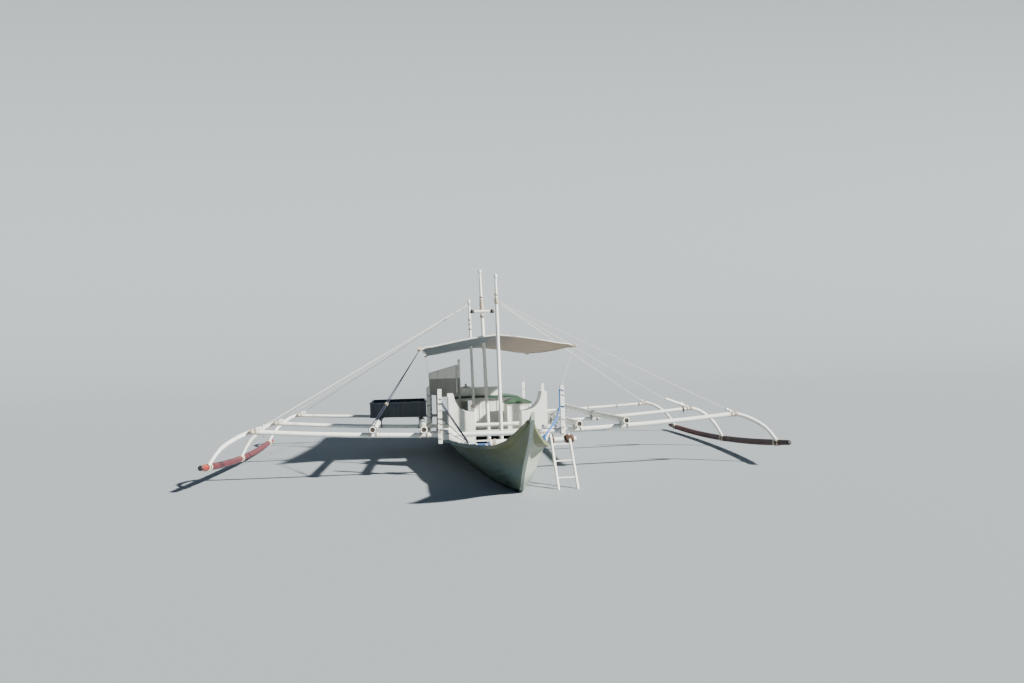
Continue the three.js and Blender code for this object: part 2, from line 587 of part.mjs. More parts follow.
// Locker on the port side deck under a hipped lid, screen on the starboard side, tray on the starboard poles
function buildLockerScreenTray() {
  const l = LOCKER;
  const floor = DECK.top + GAP;
  const body = solid(block(l.rearX, l.frontX, l.innerY, l.outerY, floor, l.top));
  const hollow = solid(block(l.rearX + l.wall, l.frontX - l.wall, l.innerY + l.wall, l.outerY - l.wall,
    floor + l.wall, l.top + l.wall));
  add('port_locker', geometryOf(body.subtract(hollow)), 'white');

  const [x0, x1] = [l.rearX - l.eave, l.frontX + l.eave];
  const [y0, y1] = [l.innerY - l.eave, l.outerY + l.eave];
  const rim = (z, inset) => [[x0, y0], [x1, y0], [x1, y1], [x0, y1]].map(([x, y]) => new THREE.Vector3(
    x + Math.sign((x0 + x1) / 2 - x) * inset, y + Math.sign((y0 + y1) / 2 - y) * inset, z,
  ));
  const low = l.top + GAP;
  const hip = (y1 - y0) / 2 - l.ridge;
  add('port_locker_lid', loft([rim(low, 0), rim(low + l.lidEdge, 0), rim(low + l.roof, hip)]), 'green');

  const s = SCREEN;
  const leg = (grow) => bar([[s.x, s.outerY, SHEER + GAP], [s.x, s.outerY, s.low + s.legReach + grow]],
    [s.legRadius + grow, s.legRadius + grow], s.sides);
  const post = bar([[s.x, s.innerY, floor], [s.x, s.innerY, s.postTop]], [s.postRadius, s.postRadius], s.sides);
  const [railRear, railFront] = [s.x - s.rail / 2, s.x + s.rail / 2];
  const rail = block(railRear, railFront, s.outerY - s.legRadius / 2, s.innerY, s.low - s.rail, s.low);
  add('screen_frame', geometryOf(joined(post, leg(0), rail)), 'white');
  const inEdge = s.innerY - s.postRadius - GAP;
  const outline = [[s.edgeY, s.low + GAP], [inEdge, s.low + GAP], [inEdge, s.crown], [s.edgeY, s.top]];
  const panel = solid(plateAcross(outline, s.x - s.thick / 2, s.thick));
  add('screen_panel', geometryOf(panel.subtract(solid(leg(GAP)))), 'white');

  // The tray follows the slope of the poles that carry it
  const t = TRAY;
  const { outer, inner: innerPole } = POLE.y.starboard;
  const lift = GAP + POLE.radius;
  const bottom = poleHeight(t.rearX, outer) + lift;
  const slope = Math.atan2(bottom - lift - poleHeight(t.frontX, outer), t.frontX - t.rearX);
  const box = solid(block(t.rearX, t.frontX, t.outerY, t.innerY, bottom, bottom + t.height));
  const inside = solid(block(t.rearX + t.wall, t.frontX - t.wall, t.outerY + t.wall, t.innerY - t.wall,
    bottom + t.wall, bottom + t.height + t.wall));
  const [lowRunner, ledge] = [poleHeight(t.rearX, innerPole) + lift, POLE.radius / 2];
  const [runner0, runner1] = [-innerPole - ledge, -innerPole + ledge];
  const runner = solid(block(t.rearX, t.frontX, runner0, runner1, lowRunner, bottom + t.wall / 2));
  const tray = geometryOf(box.subtract(inside).add(runner)).translate(-t.rearX, 0, -bottom);
  add('side_tray', tray.rotateY(slope).translate(t.rearX, 0, bottom), 'white');
}

// Where a mast's middle line lies to port or starboard at height z
function mastY([, , footY, headY, top], z) {
  return footY + (headY - footY) * (z - SOLE.top) / (top - SOLE.top);
}

// A mast narrows a little to its shoulder, then more to a neck under a small knob
function mastBar(mast, extra) {
  const [, x, footY, headY, top, radius] = mast;
  const m = MAST;
  const foot = SOLE.top + GAP + radius * Math.abs(headY - footY) / (top - SOLE.top);
  const [neck, knob] = [m.neckShare * radius, m.knobShare * radius];
  const knobLow = top - m.knobHeight;
  const rows = [
    [foot - extra, radius], [foot + m.shoulder * (top - foot), m.shoulderShare * radius], [knobLow, neck],
    [knobLow + m.knobEase, knob], [top - m.knobEase, knob], [top + extra, neck],
  ];
  return bar(rows.map(([z]) => [x, mastY(mast, z), z]), rows.map(([, r]) => r + extra), m.sides);
}

// Three masts, the lamp crossarm, the canopy that they carry and the main stays
function buildMastsAndCanopy() {
  for (const mast of MASTS) {
    add(`mast_${mast[0]}`, mastBar(mast, 0), 'white');
  }
  const grown = MASTS.map((mast) => solid(mastBar(mast, GAP)));

  const middle = MASTS[1];
  const c = CROSSARM;
  const [armX, armY] = [middle[1] + c.ahead, mastY(middle, c.z)];
  const reach = c.halfLength - c.lampRadius;
  const arm = bar([[armX, armY - reach, c.z], [armX, armY + reach, c.z]], [c.radius, c.radius], MAST.sides);
  const shade = [
    [0, 0], [c.lampRadius, 0], [c.lampRadius, 0.6 * c.lampHeight], [0.5 * c.lampRadius, c.lampHeight],
  ];
  const lamps = [-1, 1].map((sign) => upright(
    [...shade, [0, c.lampHeight]],
    armX, armY + sign * (c.halfLength - c.lampInset), c.z - 0.5 * c.lampHeight, MAST.sides,
  ));
  add('crossarm', geometryOf(joined(arm, ...lamps).subtract(grown[1])), 'dark');

  const canopy = grown.reduce((body, mast) => body.subtract(mast), solid(canopySheet()));
  add('canopy', geometryOf(canopy), 'tarp');

  for (const [name, mast, z, place, side] of STAY.runs) {
    const sign = side === 'port' ? 1 : -1;
    const [stub, inward] = armRoute(place, side, sign);
    const ends = [[MASTS[mast][1], mastY(MASTS[mast], z), z], stub.lerp(inward, STAY.reach)];
    const rope = solid(bar(ends, [STAY.radius, STAY.radius], STAY.sides));
    const seat = solid(armBar(place, side, sign, GAP));
    add(`stay_${name}`, geometryOf(rope.subtract(grown[mast]).subtract(seat)), 'rope');
  }
}

// Canopy as a thin curved slab: ridge along the middle, edges drawn in and hanging a little between the ties
function canopySheet() {
  const c = CANOPY;
  const { rows, columns } = c;
  const rings = Array.from({ length: rows + 1 }, (_, i) => {
    const s = i / rows;
    const x = c.rearX + s * (c.frontX - c.rearX);
    const belly = 4 * s * (1 - s);
    const half = c.rearHalf + s * (c.frontHalf - c.rearHalf) - c.waist * belly;
    const edge = c.rearEdge + s * (c.frontEdge - c.rearEdge) - 0.5 * c.sideSag * belly;
    const ridge = c.rearRidge + s * (c.frontRidge - c.rearRidge) - 0.4 * c.sideSag * belly;
    const across = Array.from({ length: columns + 1 }, (_, j) => {
      const t = (2 * j) / columns - 1;
      const lift = 1 - Math.abs(t) ** c.crown;
      return new THREE.Vector3(x, half * t, edge + (ridge - edge) * lift);
    });
    const under = across.map((p) => new THREE.Vector3(p.x, p.y, p.z - c.thick)).reverse();
    return [...across, ...under];
  });
  return loft(rings);
}

// Boarding ladder hung by collars from a bar laid across the bow, outboard of the port rail
function buildLadder() {
  const l = LADDER;
  const axis = new THREE.Vector3(l.barX, 0, ladderBarHeight());
  const onAxis = (y) => axis.clone().setY(y);
  const ends = [onAxis(l.barStarboardY), onAxis(l.barPortY)];
  add('ladder_bar', bar(ends, [l.barRadius, l.barRadius], l.sides), 'white');

  const lean = THREE.MathUtils.degToRad(l.lean);
  const down = new THREE.Vector3(Math.sin(lean), 0, -Math.cos(lean));
  const out = new THREE.Vector3(Math.cos(lean), 0, Math.sin(lean));
  const place = (along, y) => onAxis(y).addScaledVector(out, l.collar).addScaledVector(down, along);
  const rails = l.railY.map((y) => bar([place(-l.above, y), place(l.below, y)], [l.railRadius, l.railRadius]));
  const rungs = Array.from({ length: l.rungs }, (_, i) => {
    const along = l.firstRung + i * l.rungStep;
    return bar(l.railY.map((y) => place(along, y)), [l.rungRadius, l.rungRadius]);
  });
  const bore = l.barRadius + l.play;
  const collars = l.railY.map((y) => {
    const h = l.collarWidth / 2;
    const ring = [[bore, -h], [l.collar, -h], [l.collar, h], [bore, h], [bore, -h]];
    const section = ring.map(([r, z]) => new THREE.Vector2(r, z));
    return new THREE.LatheGeometry(section, l.sides).translate(l.barX, y, axis.z);
  });
  const [nearY, farY] = [l.railY[0] - l.collarWidth, l.railY[1] + l.collarWidth];
  const cut = solid(bar([onAxis(nearY), onAxis(farY)], [bore, bore], l.sides));
  add('ladder', geometryOf(joined(...rails, ...rungs).subtract(cut).add(joined(...collars))), 'white');
}

// Engine block, shaft with its propeller, rudder with its stock, tiller and the gudgeons on the transom
function buildDrive() {
  const e = ENGINE;
  const blockBody = solid(block(e.rearX + GAP, e.frontX, -e.halfWidth, e.halfWidth, e.low, e.top));
  add('engine', geometryOf(blockBody.intersect(snugRoom)), 'iron');

  const p = PROPELLER;
  const shaft = bar([onShaft(e.rearX - SHAFT.standOff), shaftEnd], [SHAFT.radius, SHAFT.radius]);
  const hub = onShaft(p.x);
  const hubEnd = hub.clone().addScaledVector(shaftLine, p.hubLength);
  const cap = hubEnd.clone().addScaledVector(shaftLine, p.capLength);
  const boss = bar([hub, hubEnd, cap], [p.hubRadius, p.hubRadius, p.capShare * p.hubRadius], 14);
  const turn = new THREE.Quaternion().setFromUnitVectors(new THREE.Vector3(0, 0, 1), shaftLine);
  const centre = hub.clone().addScaledVector(shaftLine, 0.5 * p.hubLength);
  const blades = Array.from({ length: p.blades }, (_, k) => {
    const rings = p.sections.map(([r, half, angle]) => {
      const pitch = THREE.MathUtils.degToRad(angle);
      const along = new THREE.Vector3(0, Math.cos(pitch), Math.sin(pitch));
      const normal = new THREE.Vector3(0, -Math.sin(pitch), Math.cos(pitch));
      return [[-half, 0], [0, p.bladeHalf], [half, 0], [0, -p.bladeHalf]].map(([u, v]) => new THREE.Vector3(r, 0, 0)
        .addScaledVector(along, u).addScaledVector(normal, v));
    });
    return loft(rings).rotateZ((2 * Math.PI * k) / p.blades).applyQuaternion(turn).translate(...centre.toArray());
  });
  add('propeller', geometryOf(joined(shaft, boss, ...blades)), 'bronze');

  const r = RUDDER;
  const stock = bar([[r.x, 0, r.bladeLow], [r.x, 0, r.stockTop]], [r.stockRadius, r.stockRadius], 16);
  const blade = plateAlong([
    [r.x, r.bladeLow], [r.x - r.bladeAft, r.bladeLow + 40], [r.x - r.bladeAft + 30, r.bladeTop - 60],
    [r.x - 120, r.bladeTop], [r.x, r.bladeTop],
  ], 0, r.thick);
  const onRing = r.rings[1] + r.ringHeight + GAP;
  const collar = bar([[r.x, 0, onRing], [r.x, 0, onRing + r.collarHeight]], [r.collarRadius, r.collarRadius], 16);
  add('rudder', geometryOf(joined(stock, blade, collar)), 'white');

  const tillerHole = solid(bar([[r.x, 0, 0], [r.x, 0, 2000]], [r.stockRadius + GAP, r.stockRadius + GAP], 16));
  const t = TILLER;
  const grip = solid(bar([[r.x - t.behind, 0, t.z - t.low], [r.x + t.length, 0, t.z + t.high]], t.gripRadius, 12));
  const [forkRear, forkFront] = t.forkX.map((x) => r.x + x);
  const fork = solid(block(forkRear, forkFront, -t.forkHalf, t.forkHalf, t.z - t.forkRise, t.z + t.forkRise));
  add('tiller', geometryOf(grip.add(fork).subtract(tillerHole)), 'timber');

  const face = STATIONS[0][0] - GAP;
  const plate = block(face - 14, face, -45, 45, r.rings[0] - 30, r.rings[1] + r.ringHeight + 20);
  const parts = r.rings.map((z) => joined(
    block(r.x + 10, face - 2, -22, 22, z, z + r.ringHeight),
    bar([[r.x, 0, z], [r.x, 0, z + r.ringHeight]], [r.ringRadius, r.ringRadius], 16),
  ));
  const bore = r.stockRadius + r.play;
  const through = solid(bar([[r.x, 0, -500], [r.x, 0, 1000]], [bore, bore], 16));
  const gudgeons = parts.reduce((sum, part) => sum.add(part), solid(plate)).subtract(through);
  add('rudder_gudgeons', geometryOf(gudgeons), 'bronze');
}

buildHull();
buildInside();
buildFrontFrame();
buildOutriggers();
buildPolesAndPosts();
buildHouse();
buildLockerScreenTray();
buildMastsAndCanopy();
buildLadder();
buildDrive();

export default group;
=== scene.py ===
"""Looks of an outrigger canoe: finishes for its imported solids, its canopy, lashings, ropes and trim."""

from __future__ import annotations

import logging
import math
from collections.abc import Iterator
from dataclasses import dataclass, field
from enum import Enum

import bpy
import numpy as np
from mathutils import Matrix

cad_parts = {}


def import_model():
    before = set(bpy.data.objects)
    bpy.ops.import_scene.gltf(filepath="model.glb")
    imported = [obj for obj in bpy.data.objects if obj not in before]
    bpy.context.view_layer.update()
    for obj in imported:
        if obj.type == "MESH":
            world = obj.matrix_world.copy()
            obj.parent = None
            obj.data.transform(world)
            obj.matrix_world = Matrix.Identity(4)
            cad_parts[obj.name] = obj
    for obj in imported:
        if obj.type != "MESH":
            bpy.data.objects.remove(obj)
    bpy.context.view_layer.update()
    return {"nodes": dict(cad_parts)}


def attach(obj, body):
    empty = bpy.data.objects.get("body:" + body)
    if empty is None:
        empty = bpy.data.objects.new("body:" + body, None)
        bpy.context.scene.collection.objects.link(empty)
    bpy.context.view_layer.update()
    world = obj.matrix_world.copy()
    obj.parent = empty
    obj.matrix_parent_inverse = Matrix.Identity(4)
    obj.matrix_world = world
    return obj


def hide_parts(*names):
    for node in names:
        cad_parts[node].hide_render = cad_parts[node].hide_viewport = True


LOG = logging.getLogger("outrigger")
Point = tuple[float, ...]

# Towards the bow, to port and up
X, Y, Z = (1.0, 0.0, 0.0), (0.0, 1.0, 0.0), (0.0, 0.0, 1.0)
SIDES = {"port": 1, "starboard": -1}

# How far the bow rides up, and the gap between solids that rest on each other
TRIM = math.radians(1.72)
TINY = 0.0003

# Beyond every end of the boat, the round of a bar's edge, and turns of rope side by side in rope radii
FAR = 9.0
BAR_ROUND = 0.010
ROPE_PITCH = 2.05


class Axis(Enum):
    """The direction that brush strokes or grain run in."""

    ALONG = (0.07, 1.0, 1.0)
    ACROSS = (1.0, 0.07, 1.0)
    UP = (1.0, 1.0, 0.07)


class Body(Enum):
    """The moving bodies that pieces ride on."""

    BOAT = "boat"
    STEERING = "steering"
    BOX_LID = "box_lid"
    LOCKER_LID = "locker_lid"
    LADDER = "boarding_ladder"


# Geometry helpers

def afloat(points: np.ndarray) -> np.ndarray:
    """Turns points from the boat's own base line to the frame afloat, by TRIM about Y.

    Args:
        points: Array whose last axis holds x, y and z in metres.

    Returns:
        The same array turned: x cos - z sin, y, z cos + x sin.
    """
    p = np.asarray(points, float)
    cos, sin = math.cos(TRIM), math.sin(TRIM)
    return np.stack([p[..., 0] * cos - p[..., 2] * sin, p[..., 1], p[..., 2] * cos + p[..., 0] * sin], -1)


def unit(vector: np.ndarray) -> np.ndarray:
    """Scales the vectors on the last axis to length one."""
    v = np.asarray(vector, float)
    return v / np.linalg.norm(v, axis=-1, keepdims=True)


def bulge(wave: np.ndarray, power: float) -> np.ndarray:
    """Squares off a sine or cosine wave: its sign times its size to the given power."""
    return np.sign(wave) * np.abs(wave) ** power


@dataclass
class Skin:
    """A grid of points whose columns may close round, with flat caps on its first and last rows."""

    points: np.ndarray
    closed: bool = True
    capped: bool = True

    def faces(self) -> tuple[np.ndarray, np.ndarray]:
        """Works out the quads between neighbouring rows and columns.

        Returns:
            Corner numbers, four to a face, and the UV of each corner: share of the way round the columns, and
            metres along the rows.
        """
        rows, columns = self.points.shape[:2]
        span = columns if self.closed else columns - 1
        i, j = [a.ravel() for a in np.meshgrid(np.arange(rows - 1), np.arange(span), indexing="ij")]
        row, after = i * columns, (j + 1) % columns
        quads = np.stack([row + j, row + after, row + columns + after, row + columns + j], 1)
        steps = np.linalg.norm(np.diff(self.points.mean(axis=1), axis=0), axis=1)
        along = np.concatenate([[0.0], np.cumsum(steps)])
        ends = ((j, i), (j + 1, i), (j + 1, i + 1), (j, i + 1))
        return quads, np.stack([np.stack([u / span, along[k]], 1) for u, k in ends], 1)

    def volume(self) -> float:
        """Adds up corner triple products, to tell inside from outside.

        Returns:
            Six times the signed volume, below nought where the faces look inwards.
        """
        quads, _ = self.faces()
        p = self.points.reshape(-1, 3)
        p = p - p.mean(axis=0)
        a, b, c, d = (p[quads[:, k]] for k in range(4))
        return float(np.einsum("ij,ij->", a, np.cross(b, c)) + np.einsum("ij,ij->", a, np.cross(c, d)))


def build_piece(name: str, skins: list[Skin], finish: bpy.types.Material, body: Body | None = Body.BOAT,
                smooth: bool = True) -> bpy.types.Object:
    """Turns skins from the boat's base line to the frame afloat and puts them into one mesh object.

    Args:
        name: The object's name.
        skins: Grids that make up the piece; their faces are made to point outwards.
        finish: The material.
        body: What it moves with, or None for the studio's own pieces.
        smooth: Whether faces are shaded smooth.

    Returns:
        The new object, with the UV map "lay".
    """
    points, loops, sizes, uvs = [], [], [], []
    offset = 0
    for skin in skins:
        rows, columns = skin.points.shape[:2]
        quads, uv = skin.faces()
        flip = skin.closed and skin.volume() < 0
        loops.append((quads[:, ::-1] if flip else quads).ravel() + offset)
        uvs.append((uv[:, ::-1] if flip else uv).reshape(-1, 2))
        sizes.append(np.full(len(quads), 4))
        if skin.capped and skin.closed:
            first, last = np.arange(columns), (rows - 1) * columns + np.arange(columns)
            caps = [first, last[::-1]] if flip else [first[::-1], last]
            loops.append(np.concatenate(caps) + offset)
            uvs.append(np.zeros((2 * columns, 2)))
            sizes.append(np.full(2, columns))
        place = skin.points.reshape(-1, 3)
        points.append(afloat(place) if body else place)
        offset += rows * columns
    corners = np.concatenate(loops).astype(np.int32)
    counts = np.concatenate(sizes).astype(np.int32)
    mesh = bpy.data.meshes.new(name)
    mesh.vertices.add(offset)
    mesh.vertices.foreach_set("co", np.concatenate(points).astype(np.float32).ravel())
    mesh.loops.add(len(corners))
    mesh.loops.foreach_set("vertex_index", corners)
    mesh.polygons.add(len(counts))
    starts = np.concatenate([[0], np.cumsum(counts)[:-1]])
    mesh.polygons.foreach_set("loop_start", starts.astype(np.int32))
    mesh.polygons.foreach_set("use_smooth", np.full(len(counts), smooth))
    mesh.update(calc_edges=True)
    layer = mesh.uv_layers.new(name="lay")
    layer.data.foreach_set("uv", np.concatenate(uvs).astype(np.float32).ravel())
    mesh.validate()
    mesh.materials.append(finish)
    piece = bpy.data.objects.new(name, mesh)
    bpy.context.scene.collection.objects.link(piece)
    if body:
        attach(piece, body.value)
        LOG.info("%s: %d faces on %s", name, len(counts), body.value)
    return piece

def sweep(path: np.ndarray, profile: np.ndarray, seed: Point, scale: np.ndarray | None = None) -> Skin:
    """Carries a profile along a path.

    Args:
        path: Points that the profile's middle goes through.
        profile: Points of x and y.
        seed: Direction that the profile's x leans towards.
        scale: Size of each ring, or None where all are one.

    Returns:
        Rings of path + x side + y up. Side is the seed less its part along the path; up is along cross side.
    """
    along, lean = unit(np.gradient(path, axis=0)), np.asarray(seed, float)
    side = unit(lean - (along @ lean)[:, None] * along)
    up = np.cross(along, side)
    size = np.ones(len(path)) if scale is None else np.asarray(scale, float)
    rings = profile[None, :, 0, None] * side[:, None] + profile[None, :, 1, None] * up[:, None]
    return Skin(path[:, None] + rings * size[:, None, None])


def circle(sides: int) -> np.ndarray:
    """Points cos t, sin t of a circle of radius one."""
    turn = np.linspace(0, 2 * np.pi, sides, endpoint=False)
    return np.stack([np.cos(turn), np.sin(turn)], 1)


def tube(path: np.ndarray, radius: float | np.ndarray, sides: int = 8,
         seed: Point = (0.31, 0.22, 0.92)) -> Skin:
    """Round section of the given radius carried along a path of points."""
    return sweep(path, circle(sides), seed, np.broadcast_to(radius, len(path)))


def line(start: Point, end: Point, radius: float, sag: float = 0.0) -> Skin:
    """Rope between two points.

    Args:
        start: One end.
        end: The other end.
        radius: The rope's radius.
        sag: How far its middle hangs down.

    Returns:
        A tube along a + s (b - a), less sag 4 s (1 - s) in z.
    """
    a, b = np.asarray(start, float), np.asarray(end, float)
    share = np.linspace(0, 1, 16)[:, None]
    return tube(a + share * (b - a) - np.array([0, 0, sag]) * 4 * share * (1 - share), radius)


def turned(profile: list[Point], centre: Point, axis: Point = Z, sides: int = 20) -> Skin:
    """Turns a profile about an axis.

    Args:
        profile: Rows of radius and height along the axis.
        centre: Where the height is nought.
        axis: Direction of the axis.
        sides: How many points go round.

    Returns:
        Rings of centre + height along + radius (u cos t + v sin t), with u and v square to the axis.
    """
    rows = np.asarray(profile, float)
    along = unit(np.asarray(axis, float))
    seed = np.asarray(Z if abs(along[2]) < 0.9 else X, float)
    u = unit(seed - (seed @ along) * along)
    ring = circle(sides) @ np.stack([u, np.cross(along, u)])
    rings = np.maximum(rows[:, 0], 1e-5)[:, None, None] * ring[None] + rows[:, 1, None, None] * along
    return Skin(rings + np.asarray(centre, float))


def eased(width: float, height: float, ease: float) -> np.ndarray:
    """Rectangle with rounded corners.

    Args:
        width: Size along x.
        height: Size along y.
        ease: Radius of the corners.

    Returns:
        Three points to a corner, on quarter circles: corner centre + ease (cos t, sin t).
    """
    turn = (np.arange(4)[:, None] + np.linspace(0, 1, 3)) * np.pi / 2
    centres = np.array([(1, 1), (-1, 1), (-1, -1), (1, -1)]) * (np.array([width, height]) / 2 - ease)
    return (centres[:, None] + ease * np.stack([np.cos(turn), np.sin(turn)], -1)).reshape(-1, 2)


def plank(start: Point, end: Point, width: float, thick: float, face: Point = Z, ease: float = 0.003) -> Skin:
    """Straight board with eased edges and ends.

    Args:
        start: Middle of one end.
        end: Middle of the other end.
        width: Size across the board.
        thick: Size along its face's direction.
        face: The direction that its wide face looks in.
        ease: Radius of its edges.

    Returns:
        An eased rectangle carried from end to end, whose first and last rings are drawn in a little.
    """
    a, b = np.asarray(start, float), np.asarray(end, float)
    edge = ease / float(np.linalg.norm(b - a))
    share = np.array([0.0, edge, 1 - edge, 1.0])
    inset = 1 - 2 * ease / max(width, thick)
    scale = np.array([inset, 1.0, 1.0, inset])
    return sweep(a + share[:, None] * (b - a), eased(thick, width, ease), face, scale)


def surround(corners: list[Point], width: float, thick: float, face: Point) -> list[Skin]:
    """Four boards round a rectangle, butted at its corners.

    Args:
        corners: The rectangle's corners in order.
        width: Size of a board across the frame.
        thick: Size of a board along the face's direction.
        face: The direction that the frame looks in.

    Returns:
        One board to a side; each second board runs half a width past its neighbours' ends.
    """
    points = [np.asarray(c, float) for c in corners]
    boards = []
    for k, a in enumerate(points):
        b = points[(k + 1) % len(points)]
        reach = (0.5 if k % 2 else -0.502) * width * unit(b - a)
        boards.append(plank(a - reach, b + reach, width, thick, face))
    return boards


def wrapping(centre: Point, along: Point, up: Point, half: Point, turns: float, rope: float,
             power: float = 1.0) -> Skin:
    """Rope wound round a bar or a bundle.

    Args:
        centre: Middle of the winding.
        along: Direction that the turns advance in, one rope width to a turn.
        up: The other half size's direction.
        half: Half sizes of what is wrapped, sideways and upwards.
        turns: How many turns there are.
        rope: The rope's radius.
        power: Below one squares the turns off.

    Returns:
        A tube along centre + side a cos t + up b sin t + along (t / 2 pi - turns / 2) 2 rope.
    """
    axis, top = unit(np.asarray(along, float)), unit(np.asarray(up, float))
    top = unit(top - (top @ axis) * axis)
    side = np.cross(top, axis)
    t = np.linspace(0, 2 * np.pi * turns, int(18 * turns) + 1)
    path = (np.asarray(centre, float) + (half[0] + rope) * bulge(np.cos(t), power)[:, None] * side
            + (half[1] + rope) * bulge(np.sin(t), power)[:, None] * top
            + (t / (2 * np.pi) - turns / 2)[:, None] * ROPE_PITCH * rope * axis)
    return tube(path, rope, 6, tuple(axis))


def crossing(centre: Point, outward: Point, upper: Point, upper_half: float, lower_half: float, turns: int,
             rope: float) -> list[Skin]:
    """Square lashing where two bars cross.

    Args:
        centre: The point where the bars touch.
        outward: Direction from the lower bar to the upper one.
        upper: Direction of the upper bar; the lower one is square to it.
        upper_half: Half thickness of the upper bar.
        lower_half: Half thickness of the lower bar.
        turns: How many loops lie side by side.
        rope: The rope's radius.

    Returns:
        Loops that pass over the upper bar outside the lower one and under the lower bar outside the upper
        one: centre + upper a cos t + across b sin t + outward h cos 2t, each wave squared off.
    """
    out, over = unit(np.asarray(outward, float)), unit(np.asarray(upper, float))
    across = np.cross(out, over)
    t = np.linspace(0, 2 * np.pi, 48, endpoint=False)
    lift = bulge(np.cos(2 * t), 0.42)
    height = np.where(lift > 0, 2 * upper_half + rope, 2 * lower_half + rope) * lift
    loops = []
    for k in range(turns):
        a, b = lower_half + (1 + ROPE_PITCH * k) * rope, upper_half + (1 + k) * rope
        path = (np.asarray(centre, float) + a * bulge(np.cos(t), 0.55)[:, None] * over
                + b * bulge(np.sin(t), 0.55)[:, None] * across + height[:, None] * out)
        loops.append(ring_tube(path, rope))
    return loops


def ring_tube(path: np.ndarray, radius: float) -> Skin:
    """Closed loop of rope.

    Args:
        path: Points round the loop, the first not said twice.
        radius: The rope's radius.

    Returns:
        A tube of path + radius (side cos t + up sin t) whose last ring meets its first, with no caps.
    """
    along = unit(np.roll(path, -1, axis=0) - np.roll(path, 1, axis=0))
    seed = unit(path - path.mean(axis=0))
    side = unit(seed - np.einsum("ij,ij->i", seed, along)[:, None] * along)
    up = np.cross(along, side)
    ring = radius * circle(6)
    points = path[:, None] + ring[None, :, 0, None] * side[:, None] + ring[None, :, 1, None] * up[:, None]
    return Skin(np.concatenate([points, points[:1]]), capped=False)


# Finishes

def linear(colour: str) -> tuple[float, float, float, float]:
    """Turns an sRGB hex colour to linear red, green, blue and an alpha of one."""
    values = [int(colour[k:k + 2], 16) / 255 for k in (0, 2, 4)]
    return (*[v / 12.92 if v <= 0.04045 else ((v + 0.055) / 1.055) ** 2.4 for v in values], 1.0)


def add_node(tree: bpy.types.NodeTree, kind: str, settings: dict | None = None,
             links: dict | None = None) -> bpy.types.Node:
    """Adds a node with its settings and links.

    Args:
        tree: The material's node tree.
        kind: The node's type without its ShaderNode prefix.
        settings: Lower-case names are the node's own options; others are input sockets by name or number.
        links: Input sockets by name or number, each with the output that feeds it, or its node for the first.

    Returns:
        The new node.
    """
    node = tree.nodes.new("ShaderNode" + kind)
    for key, value in (settings or {}).items():
        if isinstance(key, str) and key.islower():
            setattr(node, key, value)
        else:
            node.inputs[key].default_value = value
    for key, source in (links or {}).items():
        from_node = isinstance(source, bpy.types.Node)
        outlet = next(o for o in source.outputs if o.enabled) if from_node else source
        tree.links.new(outlet, node.inputs[key])
    return node


class Finish:
    """A material named for the real one; each kind gives its own surface."""

    name: str

    def surface(self, tree: bpy.types.NodeTree, place: bpy.types.NodeSocket) -> bpy.types.Node:
        """Lays out the nodes.

        Args:
            tree: The material's node tree.
            place: The socket that gives the place on the piece, in metres.

        Returns:
            The shader.
        """
        raise NotImplementedError

    def build(self) -> bpy.types.Material:
        """Makes the material.

        Returns:
            The material, with the surface at its output.
        """
        material = bpy.data.materials.new(self.name)
        material.use_nodes = True
        tree = material.node_tree
        tree.nodes.clear()
        place = add_node(tree, "TexCoord").outputs["Object"]
        add_node(tree, "OutputMaterial", links={"Surface": self.surface(tree, place)})
        return material


@dataclass(frozen=True)
class Band:
    """Part of a piece that is painted another colour, between two places on one axis.

    A soft band's edges fade over its softness, as a stain's do; a hard one wavers as a brushed line does.
    """

    axis: str
    low: float
    high: float
    colour: str
    waver: float = 0.004
    soft: float = 0.0
    strength: float = 1.0

    def lay(self, tree: bpy.types.NodeTree, place: bpy.types.NodeSocket,
            colour: bpy.types.Node) -> bpy.types.Node:
        """Lays the band over a colour.

        Args:
            tree: The material's node tree.
            place: The socket that gives the place on the piece.
            colour: The node whose colour the band covers.

        Returns:
            The node that gives the colour with the band on it.
        """
        parts = add_node(tree, "SeparateXYZ", links={0: place})
        wander = add_node(tree, "TexNoise", {"Scale": 2.5, "Detail": 4.0}, {"Vector": place})
        shift = add_node(tree, "Math", {"operation": "MULTIPLY_ADD", 1: 2 * self.waver, 2: -self.waver},
                         {0: wander})
        at = add_node(tree, "Math", {"operation": "ADD"}, {0: shift, 1: parts.outputs[self.axis]})
        ease = max(self.soft, 0.0005)
        rise = {"From Min": self.low - ease, "From Max": self.low, "To Max": self.strength}
        above = add_node(tree, "MapRange", rise, {"Value": at})
        fall = {"From Min": self.high + ease, "From Max": self.high}
        below = add_node(tree, "MapRange", fall, {"Value": at})
        inside = add_node(tree, "Math", {"operation": "MULTIPLY"}, {0: above, 1: below})
        return add_node(tree, "Mix", {"data_type": "RGBA", 7: linear(self.colour)}, {0: inside, 6: colour})


